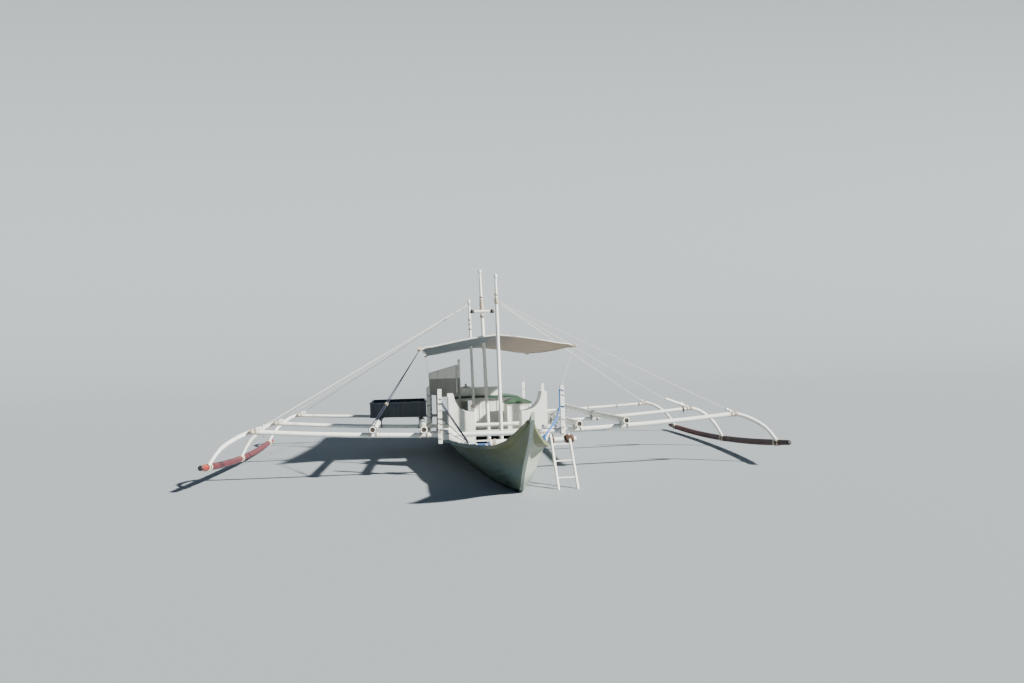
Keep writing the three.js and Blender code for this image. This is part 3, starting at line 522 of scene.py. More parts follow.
@dataclass(frozen=True)
class BrushedEnamel(Finish):
    """Alkyd boat enamel brushed over primed timber: soft gloss, faint strokes, runs of dirt and small chips.

    The strokes are 3 mm wide in life and drawn 12 mm wide so that they show. Patches are 0.6 m wide, runs
    70 mm by 0.9 m and chips 26 mm. A noise's scale is one over its width in metres. Ease rounds the edges.
    """

    name: str
    colour: str
    tone: str
    dirt_and_groove_shade: str = "86857a"
    under: str = "a99b80"
    strokes: Axis = Axis.UP
    roughness: float = 0.42
    dirty: float = 0.35
    worn: float = 0.5
    ease: float = 0.004
    bands: tuple[Band, ...] = ()

    def surface(self, tree: bpy.types.NodeTree, place: bpy.types.NodeSocket) -> bpy.types.Node:
        """Colour and bands, then runs of dirt, then chips, over relief of strokes and chips.

        Args:
            tree: The material's node tree.
            place: The socket that gives the place on the piece.

        Returns:
            The shader.
        """
        brushed = add_node(tree, "Mapping", {"Scale": self.strokes.value}, {"Vector": place})
        strokes = add_node(tree, "TexNoise", {"Scale": 80.0, "Detail": 4.0, "Roughness": 0.55},
                           {"Vector": brushed})
        patches = add_node(tree, "TexNoise", {"Scale": 1.7, "Detail": 5.0, "Roughness": 0.62},
                           {"Vector": place})
        colour = add_node(tree, "Mix", {"data_type": "RGBA", 6: linear(self.colour), 7: linear(self.tone)},
                          {0: patches})
        for band in self.bands:
            colour = band.lay(tree, place, colour)
        hanging = add_node(tree, "Mapping", {"Scale": (14.0, 14.0, 1.1)}, {"Vector": place})
        runs = add_node(tree, "TexNoise", {"Scale": 1.0, "Detail": 6.0, "Roughness": 0.6},
                        {"Vector": hanging})
        streaks = add_node(tree, "MapRange", {"From Min": 0.48, "From Max": 0.72, "To Max": self.dirty},
                           {"Value": runs})
        blotches = add_node(tree, "MapRange", {"From Min": 0.3, "From Max": 0.62}, {"Value": patches})
        mask = add_node(tree, "Math", {"operation": "MULTIPLY"}, {0: streaks, 1: blotches})
        colour = add_node(tree, "Mix", {"data_type": "RGBA", 7: linear(self.dirt_and_groove_shade)}, {0: mask, 6: colour})
        flakes = add_node(tree, "TexNoise", {"Scale": 38.0, "Detail": 7.0, "Roughness": 0.68},
                          {"Vector": place})
        edge = 0.78 - 0.1 * self.worn
        chips = add_node(tree, "MapRange", {"From Min": edge, "From Max": edge + 0.02}, {"Value": flakes})
        colour = add_node(tree, "Mix", {"data_type": "RGBA", 7: linear(self.under)}, {0: chips, 6: colour})
        dull = add_node(tree, "MapRange", {"To Min": self.roughness - 0.08, "To Max": self.roughness + 0.2},
                        {"Value": patches})
        height = add_node(tree, "Math", {"operation": "MULTIPLY_ADD", 1: -0.6}, {0: chips, 2: strokes})
        rounded = add_node(tree, "Bevel", {"samples": 4, "Radius": self.ease})
        relief = add_node(tree, "Bump", {"Strength": 0.35, "Distance": 0.0012},
                          {"Height": height, "Normal": rounded})
        return add_node(tree, "BsdfPrincipled", {"IOR": 1.5},
                        {"Base Color": colour, "Roughness": dull, "Normal": relief})


@dataclass(frozen=True)
class WeatheredTimber(Finish):
    """Bare hardwood bleached by salt: dry grain that runs one way, darker pores, grey patches.

    The grain's figure is drawn 29 mm wide and its pores 6 mm wide, coarser than in life so that they show.
    """

    name: str
    light: str
    dark: str
    grey: str
    grain: Axis = Axis.ALONG

    def surface(self, tree: bpy.types.NodeTree, place: bpy.types.NodeSocket) -> bpy.types.Node:
        """Grain between two colours, then grey patches, over relief of grain and pores.

        Args:
            tree: The material's node tree.
            place: The socket that gives the place on the piece.

        Returns:
            The shader.
        """
        drawn = add_node(tree, "Mapping", {"Scale": self.grain.value}, {"Vector": place})
        figure = add_node(tree, "TexNoise", {"Scale": 34.0, "Detail": 6.0, "Distortion": 0.6},
                          {"Vector": drawn})
        pores = add_node(tree, "TexNoise", {"Scale": 160.0, "Detail": 3.0}, {"Vector": drawn})
        patches = add_node(tree, "TexNoise", {"Scale": 3.0, "Detail": 4.0}, {"Vector": place})
        colour = add_node(tree, "Mix", {"data_type": "RGBA", 6: linear(self.dark), 7: linear(self.light)},
                          {0: figure})
        bleached = add_node(tree, "MapRange", {"From Min": 0.4, "From Max": 0.75, "To Max": 0.7},
                            {"Value": patches})
        colour = add_node(tree, "Mix", {"data_type": "RGBA", 7: linear(self.grey)}, {0: bleached, 6: colour})
        height = add_node(tree, "Math", {"operation": "MULTIPLY_ADD", 1: 0.5}, {0: pores, 2: figure})
        relief = add_node(tree, "Bump", {"Strength": 0.5, "Distance": 0.0015}, {"Height": height})
        dull = add_node(tree, "MapRange", {"To Min": 0.65, "To Max": 0.9}, {"Value": figure})
        return add_node(tree, "BsdfPrincipled", {"IOR": 1.45},
                        {"Base Color": colour, "Roughness": dull, "Normal": relief})


@dataclass(frozen=True)
class LaidRope(Finish):
    """Three-strand rope: strands that turn once in three diameters, fuzz, and painted shade in the grooves.

    The fuzz is drawn in tufts 17 mm wide.
    """

    name: str
    colour: str
    shade: str
    diameter: float = 0.012

    def surface(self, tree: bpy.types.NodeTree, place: bpy.types.NodeSocket) -> bpy.types.Node:
        """Strands on the rope's own UV map: their height is sin 2 pi (3 u + v / lay).

        Args:
            tree: The material's node tree.
            place: The socket that gives the place on the piece.

        Returns:
            The shader.
        """
        parts = add_node(tree, "SeparateXYZ", links={0: add_node(tree, "UVMap", {"uv_map": "lay"})})
        run = add_node(tree, "Math", {"operation": "MULTIPLY", 1: 1 / (3 * self.diameter)},
                       {0: parts.outputs["Y"]})
        twist = add_node(tree, "Math", {"operation": "MULTIPLY_ADD", 1: 3.0}, {0: parts.outputs["X"], 2: run})
        angle = add_node(tree, "Math", {"operation": "MULTIPLY", 1: 2 * math.pi}, {0: twist})
        strand = add_node(tree, "Math", {"operation": "SINE"}, {0: angle})
        fuzz = add_node(tree, "TexNoise", {"Scale": 60.0, "Detail": 4.0}, {"Vector": place})
        # Painted shade: the grooves between strands darken towards the shade colour; fuzz adds to it.
        groove = add_node(tree, "MapRange", {"From Min": -1.0, "From Max": 0.4, "To Min": 0.8, "To Max": 0.0},
                          {"Value": strand})
        dirt_and_groove_shade = add_node(tree, "Math", {"operation": "MULTIPLY_ADD", 1: 0.35}, {0: fuzz, 2: groove})
        colour = add_node(tree, "Mix", {"data_type": "RGBA", 6: linear(self.colour), 7: linear(self.shade)},
                          {0: dirt_and_groove_shade})
        relief = add_node(tree, "Bump", {"Strength": 0.6, "Distance": 0.002}, {"Height": strand})
        return add_node(tree, "BsdfPrincipled", {"Roughness": 0.85, "Sheen Weight": 0.2},
                        {"Base Color": colour, "Normal": relief})


@dataclass(frozen=True)
class CoatedTarpaulin(Finish):
    """Woven polyethylene tarpaulin: creased, a little glossy, dusty in the hollows; the canopy's darker
    underside is painted shade.

    The tapes are 2 mm wide in life and drawn 14 mm wide so that they show. Creases are 0.45 m apart and
    clouds of dust 1.25 m. Some sun comes through it.
    """

    name: str
    colour: str
    tone: str
    dust: str
    below: str
    glow: float = 0.4
    tape: float = 0.014

    def surface(self, tree: bpy.types.NodeTree, place: bpy.types.NodeSocket) -> bpy.types.Node:
        """Tapes as two crossed waves on the sheet's own UV map; the underside takes its own colour, the
        canopy's as painted shade, and turns tan towards port.

        Args:
            tree: The material's node tree.
            place: The socket that gives the place on the piece.

        Returns:
            The shader.
        """
        lay = add_node(tree, "UVMap", {"uv_map": "lay"})
        parts = add_node(tree, "SeparateXYZ", links={0: lay})
        tapes = []
        for direction in ("X", "Y"):
            angle = add_node(tree, "Math", {"operation": "MULTIPLY", 1: 2 * math.pi / self.tape},
                             {0: parts.outputs[direction]})
            tapes.append(add_node(tree, "Math", {"operation": "SINE"}, {0: angle}))
        weave = add_node(tree, "Math", {"operation": "MULTIPLY"}, {0: tapes[0], 1: tapes[1]})
        folds = {"Scale": 2.2, "Detail": 6.0, "Roughness": 0.6, "Distortion": 1.2}
        creases = add_node(tree, "TexNoise", folds, {"Vector": lay})
        clouds = add_node(tree, "TexNoise", {"Scale": 0.8, "Detail": 5.0}, {"Vector": lay})
        colour = add_node(tree, "Mix", {"data_type": "RGBA", 6: linear(self.colour), 7: linear(self.tone)},
                          {0: clouds})
        dusty = add_node(tree, "MapRange", {"From Min": 0.5, "From Max": 0.8, "To Max": 0.5},
                         {"Value": creases})
        colour = add_node(tree, "Mix", {"data_type": "RGBA", 7: linear(self.dust)}, {0: dusty, 6: colour})
        facing = add_node(tree, "NewGeometry")
        normal = add_node(tree, "SeparateXYZ", links={0: facing.outputs["True Normal"]})
        sign = add_node(tree, "Math", {"operation": "MULTIPLY_ADD", 1: -2.0, 2: 1.0},
                        {0: facing.outputs["Backfacing"]})
        up = add_node(tree, "Math", {"operation": "MULTIPLY"}, {0: normal.outputs["Z"], 1: sign})
        # Faces that look down take the underside colour: painted shade on the canopy.
        lower = add_node(tree, "MapRange", {"From Min": 0.1, "From Max": -0.1}, {"Value": up})
        under = add_node(tree, "RGB")
        under.outputs[0].default_value = linear(self.below)
        under = Band("Y", 0.5, FAR, "a1907f", 0.05, 0.7, 0.85).lay(tree, place, under)
        colour = add_node(tree, "Mix", {"data_type": "RGBA"}, {0: lower, 6: colour, 7: under})
        height = add_node(tree, "Math", {"operation": "MULTIPLY_ADD", 1: 0.06}, {0: weave, 2: creases})
        relief = add_node(tree, "Bump", {"Strength": 0.45, "Distance": 0.02}, {"Height": height})
        shader = add_node(tree, "BsdfPrincipled", {"Roughness": 0.55, "Sheen Weight": 0.1},
                          {"Base Color": colour, "Normal": relief})
        through = add_node(tree, "BsdfTranslucent", {}, {"Color": colour, "Normal": relief})
        return add_node(tree, "MixShader", {0: self.glow}, {1: shader, 2: through})


@dataclass(frozen=True)
class CastMetal(Finish):
    """Sand-cast metal: pebbled skin, darker in its pits, brighter where it is rubbed.

    The grains of sand are 1 mm in life and drawn 11 mm wide so that they show; stains are 0.11 m wide.
    """

    name: str
    colour: str
    pits: str
    metallic: float
    roughness: float

    def surface(self, tree: bpy.types.NodeTree, place: bpy.types.NodeSocket) -> bpy.types.Node:
        """Stains over the colour, and relief of sand.

        Args:
            tree: The material's node tree.
            place: The socket that gives the place on the piece.

        Returns:
            The shader.
        """
        sand = add_node(tree, "TexNoise", {"Scale": 90.0, "Detail": 5.0}, {"Vector": place})
        stains = add_node(tree, "TexNoise", {"Scale": 9.0, "Detail": 5.0}, {"Vector": place})
        colour = add_node(tree, "Mix", {"data_type": "RGBA", 6: linear(self.colour), 7: linear(self.pits)},
                          {0: stains})
        dull = add_node(tree, "MapRange", {"To Min": self.roughness, "To Max": self.roughness + 0.3},
                        {"Value": stains})
        relief = add_node(tree, "Bump", {"Strength": 0.4, "Distance": 0.001}, {"Height": sand})
        return add_node(tree, "BsdfPrincipled", {"Metallic": self.metallic},
                        {"Base Color": colour, "Roughness": dull, "Normal": relief})


@dataclass(frozen=True)
class StudioPaper(Finish):
    """Matt background paper, which shows no pattern from where the camera stands."""

    name: str = "studio_paper"
    colour: str = "8c959b"

    def surface(self, tree: bpy.types.NodeTree, place: bpy.types.NodeSocket) -> bpy.types.Node:
        """One even colour."""
        return add_node(tree, "BsdfPrincipled", {"Base Color": linear(self.colour), "Roughness": 0.9})


class PaintLocker:
    """Every finish on the boat, made once and shared by the pieces that have it."""

    def __init__(self) -> None:
        """Builds the finishes of hull, spars and joinery, decks and roofs, floats, and bare materials."""
        along, across = Axis.ALONG, Axis.ACROSS
        stain = Band("Z", 0.05, 0.14, "42564a", 0.03, 0.16, 0.6)
        boot = Band("Z", -FAR, 0.05, "13201c", 0.012)
        # Darker lower hull: partly painted reflection of the water, partly wet paint.
        low = Band("Z", -FAR, 0.36, "8d9b8d", 0.05, 0.22, 0.6)
        # Painted shade: the starboard side of the hull is darkened to teal-grey.
        starboard_painted_shade = Band("Y", -FAR, -0.03, "566c6b", 0.005, 0.03, 0.78)
        # Olive under the high bow rail: painted reflection of green water, partly algae streaks.
        flare = Band("Z", 0.56, FAR, "75774f", 0.04, 0.2, 0.5)
        # Olive at the rail's bow end: painted reflection of green water, partly yellow streaks.
        bow_rail_reflection = Band("X", 4.25, FAR, "75774f", 0.10, 0.35, 0.8)
        self.hull = BrushedEnamel("hull_enamel", "b4beb4", "a2ada1", dirt_and_groove_shade="7b7b49", strokes=along, dirty=0.9,
                                  bands=(low, starboard_painted_shade, flare, stain, boot)).build()
        self.keel = BrushedEnamel("keel_enamel", "a9b3aa", "97a298", dirty=0.45, worn=0.9,
                                  bands=(stain, boot)).build()
        self.rail = BrushedEnamel("rail_enamel", "2f4f57", "29474b", dirt_and_groove_shade="6f7a66", strokes=along, worn=0.7,
                                  bands=(bow_rail_reflection,)).build()
        # Painted highlight: a lighter teal strip for the lit top edge of the rails.
        self.rail_highlight = BrushedEnamel("teal_highlight_enamel", "2f5a63", "2a4f56", strokes=along,
                                       worn=0.8).build()

        bare = ((4.2, "cfc09c", 0.05, 0.7), (4.29, "8a5a3c", 0.02, 0.6))
        tips = tuple(Band("Y", *run, colour, 0.03, soft, strength) for start, colour, soft, strength in bare
                     for run in ((start, FAR), (-FAR, -start)))
        lamps = (Band("Y", 0.082, FAR, "1b1d20", 0.0), Band("Y", -FAR, -0.254, "1b1d20", 0.0))
        self.trim = self.white("trim_enamel")
        self.beam = self.white("beam_enamel", strokes=across, worn=0.7, ease=BAR_ROUND, bands=tips)
        self.pole = self.white("pole_enamel", strokes=along, worn=0.7, ease=BAR_ROUND)
        self.arm = self.white("arm_enamel", strokes=across, worn=0.8, ease=BAR_ROUND)
        self.mast = self.white("mast_enamel", worn=0.6, ease=BAR_ROUND)
        self.post = self.white("post_enamel", worn=0.6, ease=0.006)
        self.crossarm = self.white("crossarm_enamel", strokes=across, ease=0.006, bands=lamps)

        self.platform = BrushedEnamel("platform_enamel", "0f4f9c", "0d4588", strokes=along, dirty=0.3,
                                      worn=0.8, roughness=0.5).build()
        self.deck = BrushedEnamel("deck_enamel", "d9d5ca", "c4bfb0", strokes=along, dirty=0.7, worn=0.9,
                                  roughness=0.55).build()
        self.roof = BrushedEnamel("roof_enamel", "33523f", "2d4838", dirt_and_groove_shade="7a8272", strokes=along, dirty=0.7,
                                  worn=0.9).build()
        self.roof_edge = BrushedEnamel("roof_edge_enamel", "1f4a38", "1b4031", strokes=across,
                                       worn=0.8).build()
        # Painted shade: the side tray and its rim are dark grey-blue for the canopy's shadow over them.
        self.tray = BrushedEnamel("tray_painted_shade_enamel", "4d565e", "434b52", strokes=across, dirty=0.5,
                                  worn=0.7).build()
        self.tray_edge_painted_shade = BrushedEnamel("tray_edge_enamel", "616c75", "566069", strokes=along,
                                       worn=0.8).build()
        # Painted light and shade: the screen's white is greyed for the canopy's shadow, and a top strip is
        # painted sunlit.
        self.screen = BrushedEnamel("screen_painted_light_enamel", "b0b1ab", "a3a49e", dirty=0.5, worn=0.7,
                                    bands=(Band("Z", 1.575, FAR, "fffdf6", 0.006),)).build()

        red_ends = (Band("X", -FAR, -3.05, "8e1f14", 0.01), Band("X", 2.66, FAR, "9c2012", 0.01),
                    Band("X", 2.60, 2.66, "2b2022", 0.002), Band("X", 2.96, FAR, "1c1a1b", 0.004))
        # Port float: its maroon is partly painted shade, the lighter rear is painted sunlight on its top, the
        # black front end is a cap.
        maroon_cap_and_painted_light = (Band("X", -FAR, -1.6, "561b20", 0.15, 0.9), Band("X", 2.8, FAR, "171313", 0.01, 0.1))
        self.float_red = BrushedEnamel("float_red_enamel", "5c0f1b", "521624", dirt_and_groove_shade="84424d", under="a06a66",
                                       strokes=along, roughness=0.4, dirty=0.5, worn=0.6, ease=BAR_ROUND,
                                       bands=red_ends).build()
        self.float_maroon = BrushedEnamel("float_maroon_enamel", "3c0f17", "2b0a11", dirt_and_groove_shade="532a31",
                                          under="5f4446", strokes=along, roughness=0.55, dirty=0.4, worn=0.4,
                                          ease=BAR_ROUND, bands=maroon_cap_and_painted_light).build()

        self.sole = WeatheredTimber("sole_hardwood", "8d7455", "5d4a35", "8f8a7e").build()
        self.tan = WeatheredTimber("tiller_hardwood", "b58e63", "8a6543", "a89a86").build()
        # Painted shade: near-black discs inside the poles' mouths stand for the dark of their hollow insides.
        self.hollow_shade = WeatheredTimber("pole_hollow_painted_shade", "4a4038", "221d1a", "5a5148", grain=Axis.UP).build()
        # Painted shade: the canopy's underside is grey-blue for the shade beneath it.
        self.tarp = CoatedTarpaulin("canopy_tarpaulin", "efeee8", "e2dfd4", "bdb7a6", "66727c").build()
        self.hem = CoatedTarpaulin("hem_tarpaulin", "f4f4f0", "e9e8e2", "cfcabc", "e9e8e2", 0.2).build()
        self.white_rope = LaidRope("white_polyester_rope", "e8e6df", "aaa79c", 0.010).build()
        self.cream_rope = LaidRope("cream_manila_lashing", "e0d9c4", "a3967a", 0.010).build()
        self.rust_rope = LaidRope("brown_manila_lashing", "6a4a33", "33221a", 0.016).build()
        self.dark_rope = LaidRope("navy_polypropylene_rope", "1c2947", "0d1220", 0.014).build()
        self.blue_rope = LaidRope("blue_polypropylene_rope", "2674bd", "1a4f8a", 0.014).build()
        self.iron = CastMetal("painted_cast_iron", "50565a", "35393b", 0.35, 0.5).build()
        self.bronze = CastMetal("cast_bronze", "b0854a", "6d5a35", 1.0, 0.35).build()
        self.bolt = CastMetal("galvanised_steel", "c9ccce", "9a9ea0", 0.8, 0.4).build()

    @staticmethod
    def white(name: str, **wear: object) -> bpy.types.Material:
        """The boat's white enamel under its own name, with its own wear and bands."""
        return BrushedEnamel(name, "eef1ee", "e0e2db", **wear).build()


# Sub-assemblies

@dataclass
class HullTrim:
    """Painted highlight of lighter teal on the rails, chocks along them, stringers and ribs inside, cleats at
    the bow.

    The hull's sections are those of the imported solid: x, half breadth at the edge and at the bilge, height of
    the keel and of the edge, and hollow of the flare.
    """

    paint: PaintLocker
    stations: np.ndarray = field(default_factory=lambda: np.array([
        [-4.75, .380, .225, -.010, .690, 2.2], [-4.30, .550, .320, -.135, .610, 2.2],
        [-3.70, .740, .427, -.265, .530, 2.2], [-3.18, .850, .486, -.330, .500, 2.2],
        [-2.40, .960, .540, -.365, .500, 2.2], [-1.40, 1.040, .582, -.380, .500, 2.2],
        [0.00, 1.075, .598, -.385, .500, 2.2], [1.40, 1.000, .635, -.385, .500, 2.5],
        [2.29, .810, .550, -.378, .500, 3.0], [2.43, .785, .535, -.374, .500, 3.2],
        [2.70, .740, .508, -.365, .515, 3.6], [3.15, .640, .456, -.335, .535, 4.4],
        [3.60, .505, .400, -.270, .555, 5.2], [4.10, .435, .240, -.150, .596, 6.0],
        [4.30, .405, .160, -.011, .614, 6.0], [4.50, .360, .105, .194, .638, 5.5],
        [4.75, .255, .070, .398, .710, 4.5], [5.00, .145, .045, .558, .850, 3.5],
        [5.25, .060, .032, .739, .975, 3.0], [5.40, .030, .025, .873, 1.050, 2.0],
        [5.60, .018, .014, 1.083, 1.150, 2.0]]))
    wall: float = 0.025
    foot: float = 0.026
    rail_width: float = 0.040
    highlight_run: tuple[float, float] = (-4.72, 5.36)
    highlight_size: tuple[float, float] = (0.026, 0.005)
    chocks: tuple[float, ...] = (2.55, 2.95, 3.3, 3.8, 4.12)
    chock_half: float = 0.05
    rib_run: tuple[float, float] = (-4.3, 2.3)
    rib_spacing: float = 0.42
    rib_size: tuple[float, float] = (0.028, 0.035)
    rib_reach: tuple[float, float] = (0.52, 0.9)
    house_run: tuple[float, float] = (-2.75, -1.05)
    stringer_run: tuple[float, float] = (2.5, 4.8)
    cleat: tuple[float, float, float] = (2.60, 0.66, 0.4825)
    horn: float = 0.075

    def at(self, x: float | np.ndarray) -> np.ndarray:
        """Station values at each x, joined by straight lines between the stations."""
        return np.stack([np.interp(x, self.stations[:, 0], self.stations[:, k]) for k in range(1, 6)], -1)

    def inner_sections(self, x: np.ndarray, reach: tuple[float, float], steps: int) -> np.ndarray:
        """Half sections of the planking's inner face.

        Args:
            x: Where the sections stand.
            reach: Shares of the height where each begins and ends.
            steps: How many points each has.

        Returns:
            Points by section. y is foot + (bilge - foot)(1 - (1 - s)^2.6) + (edge - bilge) s^flare, z rises
            evenly from keel to edge, and both are moved in by the wall, square to the section.
        """
        edge, bilge, keel, sheer, flare = self.at(x).T[..., None]
        s = np.linspace(*reach, steps)
        y = self.foot + (bilge - self.foot) * (1 - (1 - s) ** 2.6) + (edge - bilge) * s ** flare
        z = keel + s * (sheer - keel)
        along = unit(np.stack([np.gradient(y, axis=1), np.gradient(z, axis=1)], -1))
        across, up = y - along[..., 1] * self.wall, z + along[..., 0] * self.wall
        return np.stack([np.broadcast_to(x[:, None], y.shape), across, up], -1)

    def build(self) -> None:
        """Makes each piece."""
        self.rail_highlights()
        self.rail_chocks()
        self.ribs()
        self.stringers()
        self.cleats()

    def rail_highlights(self) -> None:
        """A flat strip of lighter teal along the outer edge of each rail's top: painted highlight of the lit
        edge.
        """
        x = np.linspace(*self.highlight_run, 120)
        edge, _, _, sheer, _ = self.at(x).T
        outer = edge + self.rail_width * np.minimum(1, 0.5 + edge / 0.7)
        for side, sign in SIDES.items():
            path = np.stack([x, sign * (outer - 0.016), sheer + 0.0028], 1)
            strip = sweep(path, eased(*self.highlight_size, 0.0015), Y)
            build_piece(f"rail_highlight_{side}", [strip], self.paint.rail_highlight)

    def rail_chocks(self) -> None:
        """Small chocks that stand along the inside of both rails at the bow."""
        skins = []
        for x in self.chocks:
            edge, _, _, sheer, _ = self.at(x)
            for sign in SIDES.values():
                start = (x - self.chock_half, sign * (edge - 0.002), sheer + 0.010)
                end = (x + self.chock_half, sign * (edge - 0.012), sheer + 0.011)
                skins.append(plank(start, end, 0.024, 0.024, Y, 0.005))
        build_piece("rail_chocks", skins, self.paint.trim)

    def ribs(self) -> None:
        """Sawn frames up the inside of the planking, clear of the engine house and the middle crossbeam."""
        x = np.arange(*self.rib_run, self.rib_spacing)
        x = x[((x <= self.house_run[0]) | (x >= self.house_run[1])) & (np.abs(x) >= 0.1)]
        skins = [sweep((section - (0, 0.016, 0)) * (1, sign, 1), eased(*self.rib_size, 0.004), Y)
                 for section in self.inner_sections(x, self.rib_reach, 14) for sign in SIDES.values()]
        build_piece("ribs", skins, self.paint.deck)

    def stringers(self) -> None:
        """A batten along the inside of the planking at the bow, under each rail."""
        inner = self.inner_sections(np.linspace(*self.stringer_run, 40), (0.9, 0.95), 3)[:, 1] - (0, 0.010, 0)
        skins = [sweep(inner * (1, sign, 1), eased(0.018, 0.030, 0.004), Y) for sign in SIDES.values()]
        build_piece("bow_stringers", skins, self.paint.trim)

    def cleats(self) -> None:
        """Wooden cleats on the bow platform's edges: a foot under a bar with two rising horns."""
        x, beside, top = self.cleat
        share = np.linspace(-1, 1, 13)
        skins = []
        for sign in SIDES.values():
            y = sign * beside
            skins.append(plank((x, y, top), (x, y, top + 0.0315), 0.05, 0.025, Y, 0.005))
            horn = np.stack([x + self.horn * share, np.full(13, y), top + 0.0395 + 0.012 * share ** 2], 1)
            skins.append(tube(horn, 0.013 - 0.005 * share ** 2, 10))
        build_piece("bow_cleats", skins, self.paint.tan)


@dataclass
class Spars:
    """Sizes of the crossbeams, poles, posts and arms, with their lashings, clamps and caps.

    A crossbeam bends up to its tips along straight spans between the points of low + rise (y / tip)^2. Its
    place gives x, radius, low and rise. Stubs are the arms' inner ends: y, and height over the arms' level.
    """

    paint: PaintLocker
    places: dict[str, tuple[float, float, float, float]] = field(default_factory=lambda: {
        "front": (2.29, 0.042, 0.630, 0.190), "middle": (0.0, 0.038, 0.630, 0.190),
        "rear": (-3.18, 0.035, 0.680, 0.125)})
    tip: float = 4.33
    spans: float = 5.0
    poles: dict[str, float] = field(default_factory=lambda: {
        "outer_port": 2.18, "inner_port": 1.32, "outer_starboard": -2.28, "inner_starboard": -1.41})
    pole_radius: float = 0.060
    pole_mouths: tuple[tuple[float, int], ...] = ((2.48, 1), (-3.38, -1))
    posts: dict[str, tuple[float, float]] = field(default_factory=lambda: {
        "front": (1.045, -1.125), "middle": (1.085, -1.27), "rear": (1.15, -1.15)})
    post_half: float = 0.035
    post_top: float = 1.43
    post_marks: tuple[Point, ...] = ((0.84, 0.35), (1.07, -0.3), (1.27, 0.3))
    stubs: dict[tuple[str, int], tuple[float, float]] = field(default_factory=lambda: {
        ("front", 1): (4.15, 0.110), ("middle", 1): (3.77, 0.240), ("rear", 1): (4.18, 0.090),
        ("front", -1): (4.17, 0.085), ("middle", -1): (4.17, 0.085), ("rear", -1): (4.17, 0.085)})
    arm_level: float = 0.797
    arm_half: float = 0.030
    arm_shift: float = 0.038
    rope: float = 0.005
    tip_windings: tuple[Point, ...] = ((4.225, 2.0), (4.292, 3.0))
    beam_marks: tuple[tuple[str, float, float], ...] = (
        ("rear", 2.80, 1.0), ("rear", 3.54, 1.0), ("rear", 4.12, 2.0), ("middle", 4.13, 3.0),
        ("middle", 2.60, 1.0))
    clamps: dict[str, tuple[Point, ...]] = field(default_factory=lambda: {
        "front": ((0.68, 0.94), (-1.085, -0.95)), "middle": ((0.93, 1.04), (-1.04, -0.93)),
        "rear": ((0.72, 0.90), (-0.90, -0.72))})
    clamp_half: float = 0.033
    sticks: tuple[tuple[Point, Point], ...] = (
        ((-0.104, 4.14, 0.96), (-0.104, 4.18, 0.70)), ((2.19, -4.13, 0.93), (2.19, -4.13, 0.72)),
        ((-3.275, -4.16, 0.91), (-3.275, -4.16, 0.74)))

    def beam(self, place: str, y: float) -> float:
        """Finds the height of a crossbeam's middle line.

        Args:
            place: Which crossbeam.
            y: How far to port.

        Returns:
            Its height, on the straight span that y lies in.
        """
        _, _, low, rise = self.places[place]
        steps = self.spans * abs(y) / self.tip
        i = math.floor(steps)
        return low + rise * (i * i + (steps - i) * (2 * i + 1)) / self.spans ** 2

    def pole(self, x: float, y: float) -> float:
        """Finds the height of a pole's middle line.

        Args:
            x: How far towards the bow.
            y: The pole's place to port.

        Returns:
            Its height, resting on two crossbeams and straight between and past them.
        """
        ahead, behind = ("front", "middle") if x > 0 else ("middle", "rear")
        (x1, r1, *_), (x0, r0, *_) = self.places[ahead], self.places[behind]
        z1 = self.beam(ahead, y) + r1 + TINY + self.pole_radius
        z0 = self.beam(behind, y) + r0 + TINY + self.pole_radius
        return z0 + (z1 - z0) * (x - x0) / (x1 - x0)

    def arm(self, place: str, sign: int, y: float) -> float:
        """Height of an arm's middle line beside the crossbeam, on a straight line from its stub's end."""
        stub_y, stub_z = self.stubs[place, sign]
        return self.arm_level + stub_z + (y - stub_y) / (4.3 - stub_y) * (0.03 - stub_z)

    def post_middles(self) -> Iterator[tuple[str, float, float]]:
        """Goes through the posts.

        Yields:
            Each post's crossbeam, and x and y of its middle line.
        """
        for place, ys in self.posts.items():
            x, radius, *_ = self.places[place]
            for y in ys:
                yield place, x + radius + TINY + self.post_half, y

    def build(self) -> None:
        """Makes the lashings, the dark turns on the posts, the caps, clamps and sticks."""
        self.pole_lashings()
        self.post_lashings()
        self.tip_lashings()
        self.beam_turns()
        self.pole_hollow_shades()
        self.post_caps()
        self.beam_clamps()
        build_piece("tip_sticks", [line(top, low, 0.015) for top, low in self.sticks], self.paint.post)

    def pole_lashings(self) -> None:
        """Square lashings where each pole crosses each crossbeam, dark at the middle beam."""
        light, dark = [], []
        for y in self.poles.values():
            for place, (x, radius, *_) in self.places.items():
                touch = (x, y, self.beam(place, y) + radius)
                loops = crossing(touch, Z, X, self.pole_radius, radius, 3, self.rope)
                (dark if place == "middle" else light).extend(loops)
        build_piece("pole_lashings", light, self.paint.cream_rope)
        build_piece("pole_lashings_middle", dark, self.paint.rust_rope)

    def post_lashings(self) -> None:
        """Square lashings of each post to its crossbeam, and single dark turns up each post."""
        fast, marks = [], []
        for place, middle, y in self.post_middles():
            x, radius, *_ = self.places[place]
            fast += crossing((x + radius, y, self.beam(place, y)), X, Z, self.post_half, radius, 3, self.rope)
            marks += [wrapping((middle, y, height), (0, lean, 1), Y, (0.035, 0.036), 1.2, 0.0035, 0.5)
                      for height, lean in self.post_marks]
        build_piece("post_lashings", fast, self.paint.cream_rope)
        build_piece("post_turns", marks, self.paint.dark_rope)

